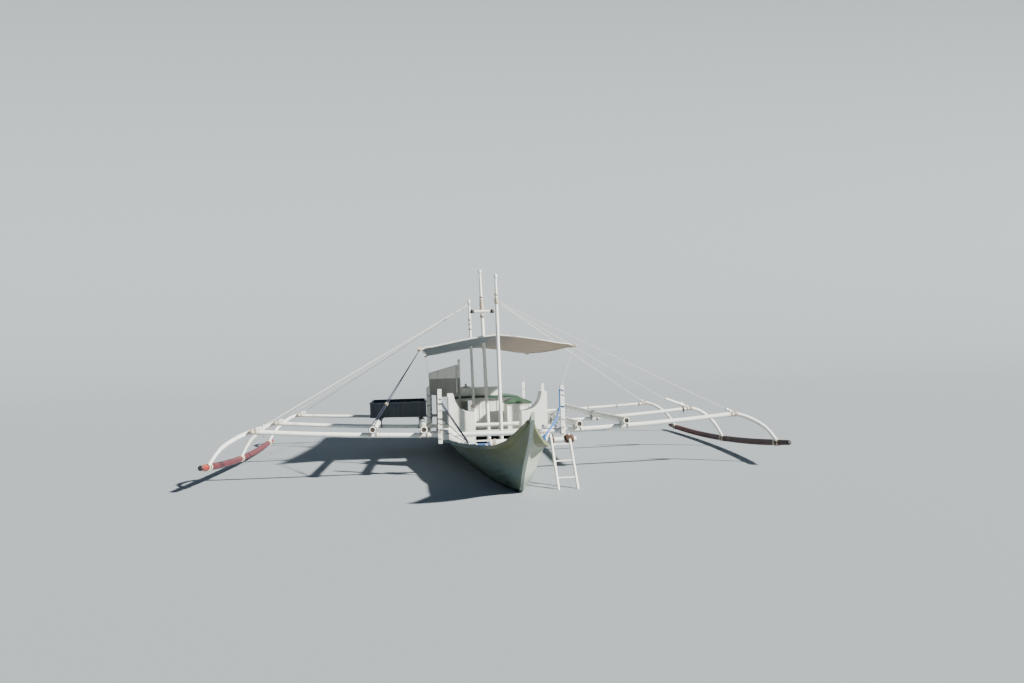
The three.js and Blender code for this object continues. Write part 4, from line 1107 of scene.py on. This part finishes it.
    def tip_lashings(self) -> None:
        """Wrapped lashings of each arm's stub to the crossbeam's tip: flat rings round both, side by side."""
        skins = []
        for place, (x, radius, *_) in self.places.items():
            for sign in SIDES.values():
                for y, turns in self.tip_windings:
                    arm, beam = self.arm(place, sign, y), self.beam(place, y)
                    top = max(arm + self.arm_half, beam + radius)
                    low = min(arm - self.arm_half, beam - radius)
                    centre = (x - self.arm_shift, sign * y, (top + low) / 2)
                    half = (radius + self.arm_shift, (top - low) / 2)
                    skins.append(wrapping(centre, Y, Z, half, turns, 0.0045, 0.72))
        build_piece("tip_lashings", skins, self.paint.white_rope)

    def beam_turns(self) -> None:
        """Brown turns of old rope round the port side of the rear and middle crossbeams."""
        skins = []
        for place, y, turns in self.beam_marks:
            x, radius, *_ = self.places[place]
            half = (radius + 0.001, radius + 0.002)
            skins.append(wrapping((x, y, self.beam(place, y)), (0, 1, 0.08), Z, half, turns, self.rope))
        build_piece("beam_turns", skins, self.paint.rust_rope)

    def pole_hollow_shades(self) -> None:
        """Dark discs 12 mm in from the poles' mouths: painted shade of their hollow insides."""
        shade_disc = [(0, -0.010), (0.039, -0.010), (0.0405, -0.008), (0.0405, -0.002), (0.039, 0.0), (0, 0.0)]
        skins = []
        for y in self.poles.values():
            for x, out in self.pole_mouths:
                slope = (self.pole(x, y) - self.pole(x - out * 0.1, y)) * 10
                inside = x - out * 0.012
                skins.append(turned(shade_disc, (inside, y, self.pole(inside, y)), (out, 0, slope), 24))
        build_piece("pole_hollow_shades", skins, self.paint.hollow_shade)

    def post_caps(self) -> None:
        """Low rounded caps on the posts' heads: eased squares that close in over 14 mm."""
        rise, close = np.array([-0.004, 0.002, 0.008, 0.012, 0.014]), np.array([1.0, 1.0, 0.9, 0.7, 0.3])
        skins = []
        for _, x, y in self.post_middles():
            path = np.stack([np.full(5, x), np.full(5, y), self.post_top + rise], 1)
            skins.append(sweep(path, eased(0.074, 0.074, 0.012), X, close))
        build_piece("post_caps", skins, self.paint.post)

    def beam_clamps(self) -> None:
        """Blocks bolted down over the crossbeams beside the hull's edges; on one, a thin brown strip is painted
        shade of a slot.
        """
        blocks, bolts = [], []
        head = [(0, 0), (0.010, 0), (0.009, 0.005), (0.004, 0.008), (0, 0.008)]
        for place, runs in self.clamps.items():
            x, radius, *_ = self.places[place]
            for start, end in runs:
                z = max(self.beam(place, start), self.beam(place, end)) + radius + self.clamp_half + 0.001
                blocks.append(plank((x, start, z), (x, end, z), 0.075, 2 * self.clamp_half, Z, 0.006))
                bolts += [turned(head, (x, y, z + self.clamp_half), sides=10)
                          for y in (start + 0.03, end - 0.03)]
        blocks.append(plank((2.372, -1.082, 0.652), (2.372, -0.885, 0.652), 0.18, 0.066, X, 0.006))
        # Painted shade: a thin brown strip on the block's face stands for the dark inside of a slot.
        slot_shade_strip = plank((2.405, -1.045, 0.668), (2.405, -0.935, 0.668), 0.014, 0.004, X, 0.001)
        build_piece("beam_clamps", blocks, self.paint.post)
        build_piece("clamp_slot_shade", [slot_shade_strip], self.paint.tan)
        build_piece("clamp_bolts", bolts, self.paint.bolt)


@dataclass
class Floats:
    """Lashings of the arms' feet to the floats. A float's middle line is low + bow (x - flat)^2."""

    paint: PaintLocker
    y: float = 4.96
    low: float = 0.150
    bow: float = 0.012
    flat: float = -0.8
    feet: tuple[float, ...] = (2.58, 0.10, -2.86)
    windings: tuple[Point, ...] = ((-0.085, 4.0), (-0.045, 2.0), (0.06, 4.0))

    def build(self) -> None:
        """Three windings of rope round the float at each foot, square to the float."""
        skins = []
        for foot in self.feet:
            for sign in SIDES.values():
                for shift, turns in self.windings:
                    run = foot + shift - self.flat
                    centre = (foot + shift, sign * self.y, self.low + self.bow * run ** 2)
                    slope = (1, 0, 2 * self.bow * run)
                    skins.append(wrapping(centre, slope, Z, (0.058, 0.059), turns, 0.0045))
        build_piece("float_lashings", skins, self.paint.cream_rope)


@dataclass
class Canopy:
    """One stretched sheet of tarpaulin over the masts, its hem and its ties."""

    paint: PaintLocker
    spars: Spars
    front: float = 1.70
    rear: float = -3.00
    front_half: float = 1.44
    rear_half: float = 1.25
    front_edge: float = 2.17
    rear_edge: float = 2.15
    front_ridge: float = 2.40
    rear_ridge: float = 2.33
    sag: float = 0.060
    waist: float = 0.070
    wall: float = 0.003
    hem_radius: float = 0.017
    flat: tuple[float, float] = (2.72, 4.72)

    def surface(self, s: np.ndarray, t: np.ndarray) -> np.ndarray:
        """Points of the sheet.

        Args:
            s: Shares along it, from rear to front.
            t: Shares across it, from -1 to starboard to 1 to port.

        Returns:
            x from rear to front, y of half width times t, and z that falls from the ridge as |t|^1.35. Edges
            and ridge hang by 4 s (1 - s). Creases fan out from the corners and the masts as small waves.
        """
        belly = 4 * s * (1 - s)
        x = self.rear + s * (self.front - self.rear)
        half = self.rear_half + s * (self.front_half - self.rear_half) - self.waist * belly
        edge = self.rear_edge + s * (self.front_edge - self.rear_edge) - 0.5 * self.sag * belly
        ridge = self.rear_ridge + s * (self.front_ridge - self.rear_ridge) - 0.4 * self.sag * belly
        z = edge + (ridge - edge) * (1 - np.abs(t) ** 1.35)
        wave = (0.006 * np.sin(9 * s * np.pi + 3 * t) * (1 - np.abs(t))
                + 0.005 * np.sin(14 * t + 4 * s) * belly)
        fan = np.arctan2(1.02 - np.abs(t), 1.02 - np.abs(2 * s - 1))
        pull = 0.010 * np.sin(24 * fan) * np.abs(t) * np.abs(2 * s - 1)
        return np.stack([x, half * t, z + wave + pull - 0.006], -1)

    def corner(self, s: float, t: float) -> np.ndarray:
        """One point of the sheet."""
        return self.surface(np.array([s]), np.array([t]))[0]

    def build(self) -> None:
        """Makes the sheet, its hem cord, its ties and their knots."""
        self.cloth()
        self.hem()
        self.ties()
        self.knots()

    def cloth(self) -> None:
        """The sheet itself, 3 mm thick, with a UV map in metres laid flat."""
        s, t = np.meshgrid(np.linspace(0, 1, 110), np.linspace(-1, 1, 72), indexing="ij")
        skin = Skin(self.surface(s, t), closed=False, capped=False)
        sheet = build_piece("canopy_sheet", [skin], self.paint.tarp)
        metres = np.stack([s * (self.front - self.rear), t * self.front_half], -1).reshape(-1, 2)
        corners = np.empty(len(sheet.data.loops), np.int32)
        sheet.data.loops.foreach_get("vertex_index", corners)
        sheet.data.uv_layers["lay"].data.foreach_set("uv", metres[corners].astype(np.float32).ravel())
        wall = sheet.modifiers.new("wall", "SOLIDIFY")
        wall.thickness = self.wall
        wall.offset = 0
        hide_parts("canopy")

    def hem(self) -> None:
        """Bolt rope sewn round the four edges in a pocket of the cloth."""
        run, one = np.linspace(0, 1, 60), np.ones(60)
        sides = [(run, -one), (one, 2 * run - 1), (1 - run, one), (0 * one, 1 - 2 * run)]
        s, t = (np.concatenate([side[k][:-1] for side in sides]) for k in (0, 1))
        build_piece("canopy_hem", [ring_tube(self.surface(s, t), self.hem_radius)], self.paint.hem)

    def ties(self) -> None:
        """Ropes from the corners: two dark ones to a starboard pole, three white ones to posts."""
        x, y, around = 2.40, self.spars.poles["outer_starboard"], self.spars.pole_radius
        top = self.spars.pole(x, y) + around
        low = self.corner(1.0, -1.0) - (0, 0, 0.01)
        dark = [line(low - (shift, 0, 0), (x - 0.4 * shift, y + 0.02 - shift, top), 0.008)
                for shift in (0.0, 0.045)]
        dark.append(wrapping((x, y, top - around), X, Z, (around, around), 4.0, 0.007))
        build_piece("canopy_guys_front", dark, self.paint.dark_rope)
        head = self.spars.post_top + 0.01
        white = [line(self.corner(0.0, sign), (-3.11, sign * 1.15, head), 0.003) for sign in SIDES.values()]
        white.append(line(self.corner(1.0, 1.0), (2.367, 1.045, head), 0.0025))
        build_piece("canopy_guys", white, self.paint.white_rope)

    def knots(self) -> None:
        """Turns of rope at the four corners, and a knot halfway down the dark ties."""
        skins = []
        for s, turns in ((0.0, 3.0), (1.0, 5.0)):
            for sign in SIDES.values():
                lean = (0.2, 1.0, 0.25 * sign)
                skins.append(wrapping(tuple(self.corner(s, sign)), lean, Z, (0.020, 0.020), turns, 0.008))
        skins.append(wrapping((2.18, -2.045, 1.21), (0.45, -0.5, -1.0), X, (0.018, 0.018), 3.0, 0.007))
        build_piece("canopy_knots", skins, self.paint.cream_rope)


@dataclass
class Rig:
    """Caps on the masts, seizings and the two middle stays.

    Masts are x, y at the foot, y at the head, top and radius at the foot. A mast narrows a little to its
    shoulder at three quarters of its height, then to a neck under a knob.
    """

    paint: PaintLocker
    masts: dict[str, tuple[float, float, float, float, float]] = field(default_factory=lambda: {
        "front": (1.90, 0.0, -0.030, 3.50, 0.037), "middle": (-0.35, 0.0, -0.110, 3.88, 0.042),
        "aft": (-0.95, -0.24, -0.31, 3.31, 0.036)})
    foot: float = -0.10
    light_turns: tuple[tuple[str, float, int], ...] = (
        ("front", 3.01, 6), ("front", 3.13, 3), ("aft", 3.21, 3), ("aft", 2.87, 4), ("aft", 2.78, 3),
        ("middle", 3.13, 8), ("middle", 3.24, 3), ("middle", 3.055, 3), ("middle", 2.92, 3))
    dark_turns: tuple[tuple[str, float, int], ...] = (
        ("front", 3.055, 1), ("middle", 3.30, 2), ("middle", 2.88, 2), ("aft", 2.66, 2), ("front", 2.97, 1),
        ("middle", 3.19, 1))

    def place(self, name: str, z: float) -> Point:
        """Middle of a mast at height z."""
        x, low, high, top, _ = self.masts[name]
        return x, low + (high - low) * (z - self.foot) / (top - self.foot), z

    def radius(self, name: str, z: float) -> float:
        """Finds a mast's radius.

        Args:
            name: Which mast.
            z: The height.

        Returns:
            Its radius there, by straight lines from foot to shoulder to neck.
        """
        _, _, _, top, radius = self.masts[name]
        heights = [self.foot, self.foot + 0.75 * (top - self.foot), top - 0.06]
        return radius * float(np.interp(z, heights, [1.0, 0.86, 0.55]))

    def build(self) -> None:
        """Makes the caps, seizings and stays."""
        self.caps()
        self.seizings("mast_seizings", self.light_turns, self.paint.cream_rope, 0.0065)
        self.seizings("mast_turns", self.dark_turns, self.paint.rust_rope, 0.005)
        runs = {"port": (self.place("front", 3.01), (-0.082, 3.80, 1.02)),
                "starboard": (self.place("aft", 3.21), (-0.082, -4.20, 0.88))}
        for side, (start, end) in runs.items():
            build_piece(f"stay_{side}_middle", [line(start, end, 0.004, 0.02)], self.paint.white_rope)

    def caps(self) -> None:
        """Turned knobs that round off the mast heads."""
        skins = []
        for name, (_, low, high, top, foot) in self.masts.items():
            r = 0.8 * foot + 0.002
            profile = [(0.6 * foot, -0.075), (r - 0.004, -0.063), (r, -0.052), (r + 0.001, -0.030),
                       (r, -0.014), (0.8 * r, -0.002), (0.4 * r, 0.003), (0, 0.004)]
            skins.append(turned(profile, self.place(name, top), (0, (high - low) / (top - self.foot), 1)))
        build_piece("mast_caps", skins, self.paint.mast)

    def seizings(self, piece: str, group: tuple[tuple[str, float, int], ...], finish: bpy.types.Material,
                 rope: float) -> None:
        """Turns of rope round the masts, where stays and crossarm are made fast.

        Args:
            piece: The piece's name.
            group: Mast, height and turns of each seizing.
            finish: The rope's material.
            rope: The rope's radius.
        """
        skins = []
        for name, z, turns in group:
            r = self.radius(name, z) + 0.001
            skins.append(wrapping(self.place(name, z), Z, Y, (r, r), float(turns), rope))
        build_piece(piece, skins, finish)


@dataclass
class BowLines:
    """Dark lines from the starboard front post to the bow's cleat, a blue one from the port post to a bar."""

    paint: PaintLocker
    spars: Spars
    dark_turns: tuple[float, ...] = (1.19, 0.93, 0.74)
    blue_turns: tuple[float, ...] = (1.36, 1.07)

    def build(self) -> None:
        """Makes the lines and their turns round the posts."""
        x, radius, *_ = self.spars.places["front"]
        port, starboard = self.spars.posts["front"]
        half = self.spars.post_half
        post = x + radius + TINY + half
        near, side = post + 0.03, starboard + half
        runs = (((near, side, 1.21), (2.60, -0.66, 0.530), 0.009),
                ((near - 0.03, side, 1.17), (2.59, -0.675, 0.527), 0.009),
                ((near, side, 0.93), (2.61, -0.675, 0.525), 0.008),
                ((near, side, 0.74), (2.62, -0.69, 0.520), 0.005))
        dark = [line(*run) for run in runs]
        dark.append(wrapping((2.60, -0.66, 0.512), Z, Y, (0.030, 0.018), 2.0, 0.007))
        dark += [wrapping((post, starboard, z), Z, Y, (half, half), 1.5, 0.006, 0.5) for z in self.dark_turns]
        build_piece("bow_lines", dark, self.paint.dark_rope)
        inner = port - half - 0.010
        elbow, corner = (post + 0.04, inner - 0.01, 1.06), (2.48, 0.92, 0.90)
        blue = [line((post + 0.02, inner, 1.37), elbow, 0.011), line(elbow, corner, 0.013),
                line(corner, (3.44, 0.53, 0.645), 0.016, 0.01),
                line((2.50, 0.95, 0.88), (3.42, 0.50, 0.640), 0.011, 0.02)]
        blue += [wrapping((post, port, z), (0, 0.1, 1), Y, (half, half), 1.0, 0.007, 0.5)
                 for z in self.blue_turns]
        blue.append(wrapping((3.5, 0.50, 0.5956), Y, Z, (0.040, 0.040), 3.0, 0.010))
        build_piece("blue_line", blue, self.paint.blue_rope)


@dataclass
class HouseJoinery:
    """Window and door frames, corner battens, list on the roof, rims of the tray, edges of screen and locker.

    An opening is its low and high side, bottom and top. A board is its width and thickness.
    """

    paint: PaintLocker
    spars: Spars
    rear: float = -2.75
    front: float = -1.05
    half: float = 0.65
    floor: float = 0.462
    top: float = 1.15
    front_window: Point = (-0.605, -0.235, 0.835, 1.115)
    side_window: Point = (-2.365, -1.385, 0.785, 1.075)
    rear_door: Point = (-0.275, 0.275, 0.505, 1.105)
    frame: tuple[float, float] = (0.030, 0.012)
    batten: tuple[float, float] = (0.036, 0.010)
    list_size: tuple[float, float] = (0.026, 0.007)
    list_level: float = 1.167
    tray_x: tuple[float, float] = (-1.70, -0.11)
    tray_y: tuple[float, float] = (-2.45, -1.31)
    tray_rise: float = 0.296
    screen_x: float = -0.88
    locker_x: tuple[float, float] = (-0.85, -0.25)
    locker_axis: tuple[float, float] = (0.910, 1.040)
    box_axis: tuple[float, float] = (-1.620, 1.352)
    studs: tuple[Point, ...] = ((0.815, 1.295), (0.79, 1.225), (0.765, 1.16))

    def build(self) -> None:
        """Makes each piece."""
        self.window_frames()
        self.house_battens()
        self.roof_lists()
        self.tray_rim()
        self.screen_edges()
        self.locker_battens()
        self.hinges()
        self.frame_studs()

    def opening(self, at: float, hole: Point, face: Point) -> list[Skin]:
        """Boards round an opening.

        Args:
            at: Where the wall stands on the axis that it faces along.
            hole: The opening.
            face: X for a wall across the boat, Y for one along it.

        Returns:
            Four boards.
        """
        low, high, bottom, top = hole
        ring = ((low, bottom), (high, bottom), (high, top), (low, top))
        corners = [(at, side, z) if face == X else (side, at, z) for side, z in ring]
        return surround(corners, *self.frame, face)

    def window_frames(self) -> None:
        """Boards 30 mm wide round the front window, the side windows and the rear door."""
        boards = self.opening(self.front + 0.007, self.front_window, X)
        for sign in SIDES.values():
            boards += self.opening(sign * (self.half + 0.007), self.side_window, Y)
        boards += self.opening(self.rear - 0.007, self.rear_door, X)
        build_piece("window_frames", boards, self.paint.trim)

    def house_battens(self) -> None:
        """Battens at the house's corners, a skirting along its front and two battens up it."""
        boards = []
        for x, out in ((self.front, 1), (self.rear, -1)):
            for sign in SIDES.values():
                end, beside = x + out * 0.006, sign * (self.half - 0.018)
                boards.append(plank((end, beside, self.floor), (end, beside, self.top), *self.batten, X))
                side, inside = sign * (self.half + 0.006), x - out * 0.018
                boards.append(plank((inside, side, self.floor), (inside, side, self.top), *self.batten, Y))
        skirt = self.front + 0.006
        boards.append(plank((skirt, -0.61, 0.490), (skirt, 0.61, 0.490), 0.050, 0.010, X))
        boards += [plank((skirt, y, 0.52), (skirt, y, self.top), 0.030, 0.008, X) for y in (-0.12, 0.27)]
        build_piece("house_battens", boards, self.paint.trim)

    def roof_lists(self) -> None:
        """Dark green list round the roof's edge, 8 mm proud."""
        z = self.list_level
        boards = [plank((x, -0.716, z), (x, 0.716, z), *self.list_size, X, 0.002) for x in (-2.814, -0.986)]
        boards += [plank((-2.81, y, z), (-0.99, y, z), *self.list_size, Y, 0.002) for y in (0.714, -0.714)]
        build_piece("roof_list", boards, self.paint.roof_edge)

    def tray_rim(self) -> None:
        """Rim and corner battens outside the side tray, which slopes as its poles do."""
        (x0, x1), (y0, y1) = self.tray_x, self.tray_y
        pole = self.spars.poles["outer_starboard"]
        low = [self.spars.pole(x, pole) + self.spars.pole_radius for x in self.tray_x]
        rim = [z + self.tray_rise for z in low]
        boards = [plank((x0, y, rim[0]), (x1, y, rim[1]), 0.028, 0.010, Y) for y in (y0 - 0.006, y1 + 0.006)]
        for at, z, base in ((x0 - 0.006, rim[0], low[0]), (x1 + 0.006, rim[1], low[1])):
            boards.append(plank((at, y0 - 0.011, z), (at, y1 + 0.011, z), 0.028, 0.010, X))
            boards += [plank((at, y, base + 0.01), (at, y, z - 0.015), 0.032, 0.010, X)
                       for y in (y0 + 0.016, -1.88, y1 - 0.016)]
        build_piece("tray_rim", boards, self.paint.tray_edge_painted_shade)

    def screen_edges(self) -> None:
        """List along the screen's top and outer edge, and a turned knob on its post."""
        x = self.screen_x
        boards = [plank((x, -1.222, 1.722), (x, -0.604, 1.886), 0.026, 0.026),
                  plank((x, -1.218, 1.256), (x, -1.218, 1.712), 0.026, 0.020, Y),
                  plank((x + 0.014, -0.63, 1.29), (x + 0.014, -0.63, 1.86), 0.030, 0.008, X)]
        build_piece("screen_edges", boards, self.paint.trim)
        profile = [(0.026, -0.012), (0.033, 0.0), (0.036, 0.014), (0.030, 0.030), (0.016, 0.038), (0, 0.040)]
        build_piece("screen_post_knob", [turned(profile, (x, -0.57, 1.97))], self.paint.post)

    def locker_battens(self) -> None:
        """Corner battens and a band under the lid on the port locker."""
        boards = []
        for at in (self.locker_x[1] + 0.006, self.locker_x[0] - 0.006):
            boards += [plank((at, y, self.floor), (at, y, 1.0), 0.034, 0.010, X) for y in (0.397, 0.863)]
            boards.append(plank((at, 0.38, 1.018), (at, 0.88, 1.018), 0.034, 0.010, X))
        build_piece("locker_battens", boards, self.paint.trim)

    def hinges(self) -> None:
        """Galvanised hinge barrels on the two lids' axes, 14 mm thick and 60 mm long."""
        barrel = [(0, -0.03), (0.006, -0.03), (0.007, -0.028), (0.007, 0.028), (0.006, 0.03), (0, 0.03)]
        locker = [turned(barrel, (x, *self.locker_axis), X, 24) for x in (-0.72, -0.38)]
        build_piece("locker_hinges", locker, self.paint.bolt, Body.LOCKER_LID)
        box_x, box_z = self.box_axis
        box = [turned(barrel, (box_x, y, box_z), Y, 24) for y in (-0.55, 0.16)]
        build_piece("roof_box_hinges", box, self.paint.bolt, Body.BOX_LID)

    def frame_studs(self) -> None:
        """Small studs on the port lining of the frame ahead of the cockpit."""
        stud = [(0, 0), (0.013, 0), (0.013, 0.006), (0.008, 0.011), (0, 0.012)]
        studs = [turned(stud, (1.30, y, z), (0, -1, 0.2), 12) for y, z in self.studs]
        build_piece("frame_studs", studs, self.paint.trim)


@dataclass
class DriveGear:
    """Head, pipe and flywheel on the engine, straps on the rudder, whipping on the tiller's grip."""

    paint: PaintLocker
    wheel_x: float = -1.619
    shaft_z: float = 0.06
    pipe: tuple[float, float, float] = (-2.24, 0.18, 0.56)
    pipe_radius: float = 0.024
    bend_radius: float = 0.08
    straps: tuple[float, ...] = (-0.32, -0.06)

    def build(self) -> None:
        """Makes each piece."""
        self.engine_head()
        straps = [plank((-4.838, side * 0.0175, z), (-5.08, side * 0.0175, z), 0.036, 0.006, Y, 0.002)
                  for z in self.straps for side in (1, -1)]
        build_piece("rudder_straps", straps, self.paint.bronze, Body.STEERING)
        grip = wrapping((-4.045, 0, 0.8685), (0.998, 0, 0.06), Z, (0.0165, 0.0165), 14.0, 0.0035)
        build_piece("tiller_whipping", [grip], self.paint.dark_rope, Body.STEERING)

    def engine_head(self) -> None:
        """Two stepped covers, a rimmed flywheel ahead, and a pipe that turns aft on a quarter circle."""
        wheel = [(0, 0), (0.03, 0), (0.03, 0.012), (0.15, 0.014), (0.16, 0.004), (0.195, 0.004),
                 (0.20, 0.010), (0.20, 0.045), (0.195, 0.050), (0.16, 0.050), (0.15, 0.036), (0.04, 0.040),
                 (0.03, 0.055), (0, 0.055)]
        x, y, z = self.pipe
        bend = np.linspace(0, np.pi / 2, 9)
        aft, up = self.bend_radius * (1 - np.cos(bend)), self.bend_radius * np.sin(bend)
        arc = np.stack([x - aft, np.full(9, y), z + up], 1)
        path = np.concatenate([[[x, y, 0.384]], arc, [[-2.60, y, z + self.bend_radius]]])
        head = [plank((-2.36, 0, 0.412), (-1.76, 0, 0.412), 0.24, 0.060, Z, 0.015),
                plank((-2.30, 0, 0.462), (-1.82, 0, 0.462), 0.12, 0.040, Z, 0.012),
                turned(wheel, (self.wheel_x, 0, self.shaft_z), X, 40),
                tube(path, self.pipe_radius, 14, Y)]
        build_piece("engine_head", head, self.paint.iron)


@dataclass
class LadderGear:
    """Brown lashing on the boarding ladder's bar and the lashings that hold the bar.

    A winding is y, half size of what it goes round, turns and lean.
    """

    paint: PaintLocker
    x: float = 3.5
    z: float = 0.5912
    radius: float = 0.040
    windings: tuple[Point, ...] = (
        (0.912, 0.0545, 5.0, 0.05), (0.900, 0.066, 4.0, 0.25), (0.925, 0.070, 3.0, -0.3),
        (0.860, 0.041, 3.0, 0.1), (0.965, 0.041, 3.0, -0.1), (0.650, 0.041, 2.0, 0.05))

    def build(self) -> None:
        """Makes the windings."""
        skins = [wrapping((self.x, y, self.z), (0, 1, lean), Z, (half, half), turns, 0.008)
                 for y, half, turns, lean in self.windings]
        build_piece("ladder_lashing", skins, self.paint.rust_rope, Body.LADDER)
        low = (self.radius + 0.001, self.radius + 0.004)
        fast = [wrapping((self.x, y, self.z), Y, Z, low, 4.0, 0.005) for y in (0.45, -0.30)]
        build_piece("ladder_bar_lashing", fast, self.paint.cream_rope)


@dataclass
class Studio:
    """Camera at the photograph's viewpoint, pale floor at the waterline, key light high over the port bow."""

    viewpoint: Point = (15.82, -1.61, 1.727)
    yaw: float = math.radians(7.57)
    pitch: float = math.radians(2.18)
    roll: float = math.radians(-1.68)
    lens: float = 27.0
    sensor: float = 36.0
    sight: float = 400.0
    near: float = 60.0
    far: float = -24.0
    cove: float = 50.0
    floor_half: float = 110.0
    key_turn: float = math.radians(59)
    key_height: float = math.radians(34)
    key_strength: float = 14.0
    key_angle: float = math.radians(2)
    sky_strength: float = 0.2

    @staticmethod
    def stand(name: str, data: bpy.types.ID, axes: list[np.ndarray], place: np.ndarray) -> bpy.types.Object:
        """Puts a camera or a light into the scene.

        Args:
            name: The object's name.
            data: Its camera or light data.
            axes: Where its own x, y and z look.
            place: Where it stands.

        Returns:
            The object, whose matrix has the axes and the place as its columns.
        """
        thing = bpy.data.objects.new(name, data)
        thing.matrix_world = Matrix(np.column_stack([*axes, place]).tolist() + [[0, 0, 0, 1]])
        bpy.context.scene.collection.objects.link(thing)
        return thing

    def camera(self) -> None:
        """Sets the camera: forward is -X turned by yaw, pitched up and rolled, then trimmed with the boat."""
        forward, right, up = np.array([-1.0, 0, 0]), np.array([0, 1.0, 0]), np.array([0, 0, 1.0])
        ahead = math.cos(self.yaw) * forward + math.sin(self.yaw) * right
        side = math.cos(self.yaw) * right - math.sin(self.yaw) * forward
        look = math.cos(self.pitch) * ahead + math.sin(self.pitch) * up
        top = math.cos(self.pitch) * up - math.sin(self.pitch) * ahead
        across = math.cos(self.roll) * side + math.sin(self.roll) * top
        over = math.cos(self.roll) * top - math.sin(self.roll) * side
        data = bpy.data.cameras.new("camera")
        data.lens = self.lens
        data.sensor_width = self.sensor
        data.clip_end = self.sight
        axes = [afloat(v) for v in (across, over, -look)]
        bpy.context.scene.camera = self.stand("camera", data, axes, afloat(np.array(self.viewpoint)))

    def floor(self) -> None:
        """Pale paper at the waterline that curves up far behind the boat, on a quarter circle."""
        flat = np.stack([np.linspace(self.near, self.far, 40), np.zeros(40)], 1)
        turn = np.linspace(0, np.pi / 2, 40)[1:]
        curve = np.stack([self.far - self.cove * np.sin(turn), self.cove * (1 - np.cos(turn))], 1)
        x, z = np.concatenate([flat, curve]).T
        y = np.linspace(-self.floor_half, self.floor_half, 24)
        points = np.stack(np.broadcast_arrays(x[:, None], y[None], z[:, None]), -1)
        skin = Skin(points, closed=False, capped=False)
        build_piece("studio_floor", [skin], StudioPaper().build(), None)

    def lights(self) -> None:
        """Warm key high over the port bow, and cool light from all round."""
        turn, height = self.key_turn, self.key_height
        level = math.cos(height)
        towards = np.array([math.cos(turn) * level, math.sin(turn) * level, math.sin(height)])
        data = bpy.data.lights.new("key", "SUN")
        data.energy = self.key_strength
        data.angle = self.key_angle
        data.color = linear("fffaf1")[:3]
        side = unit(np.cross(np.array([0, 0, 1.0]), towards))
        self.stand("key", data, [side, np.cross(towards, side), towards], 20 * towards)
        world = bpy.data.worlds.new("sky")
        world.use_nodes = True
        tree = world.node_tree
        tree.nodes.clear()
        sky = add_node(tree, "Background", {"Color": linear("a9c6ea"), "Strength": self.sky_strength})
        add_node(tree, "OutputWorld", links={"Surface": sky})
        bpy.context.scene.world = world


def dress_nodes(nodes: dict[str, bpy.types.Object], paint: PaintLocker) -> None:
    """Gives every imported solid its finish, by the longest key that its name starts with.

    Args:
        nodes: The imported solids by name.
        paint: The finishes.
    """
    finishes = {
        "hull": paint.hull, "keel": paint.keel, "gunwale": paint.rail, "sole": paint.sole, "deck": paint.deck,
        "bow_platform": paint.platform, "bow_bench": paint.trim, "front_frame": paint.trim,
        "crossbeam": paint.beam, "beam_seat": paint.post, "arm": paint.arm, "float_port": paint.float_maroon,
        "float_starboard": paint.float_red, "pole": paint.pole, "post": paint.post,
        "engine_house": paint.trim, "engine_house_roof": paint.roof, "roof_box": paint.trim,
        "roof_vent": paint.trim, "port_locker": paint.trim,
        "port_locker_lid": paint.roof, "screen": paint.screen, "side_tray": paint.tray, "mast": paint.mast,
        "crossarm": paint.crossarm, "canopy": paint.tarp, "stay": paint.white_rope, "ladder": paint.arm,
        "engine": paint.iron, "propeller": paint.bronze, "rudder": paint.keel, "tiller": paint.tan,
        "rudder_gudgeons": paint.bronze,
    }
    for name, node in nodes.items():
        key = max((k for k in finishes if name.startswith(k)), key=len)
        node.data.materials.clear()
        node.data.materials.append(finishes[key])
        LOG.info("%s: %s", name, finishes[key].name)


def main() -> None:
    """Builds everything in order."""
    logging.basicConfig(level=logging.INFO, format="%(message)s")
    studio = Studio()
    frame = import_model()
    studio.camera()
    paint = PaintLocker()
    dress_nodes(frame["nodes"], paint)
    spars = Spars(paint)
    parts = (HullTrim(paint), spars, Floats(paint), Canopy(paint, spars), Rig(paint), BowLines(paint, spars),
             HouseJoinery(paint, spars), DriveGear(paint), LadderGear(paint))
    for part in parts:
        part.build()
    studio.floor()
    studio.lights()


if __name__ == "__main__":
    main()
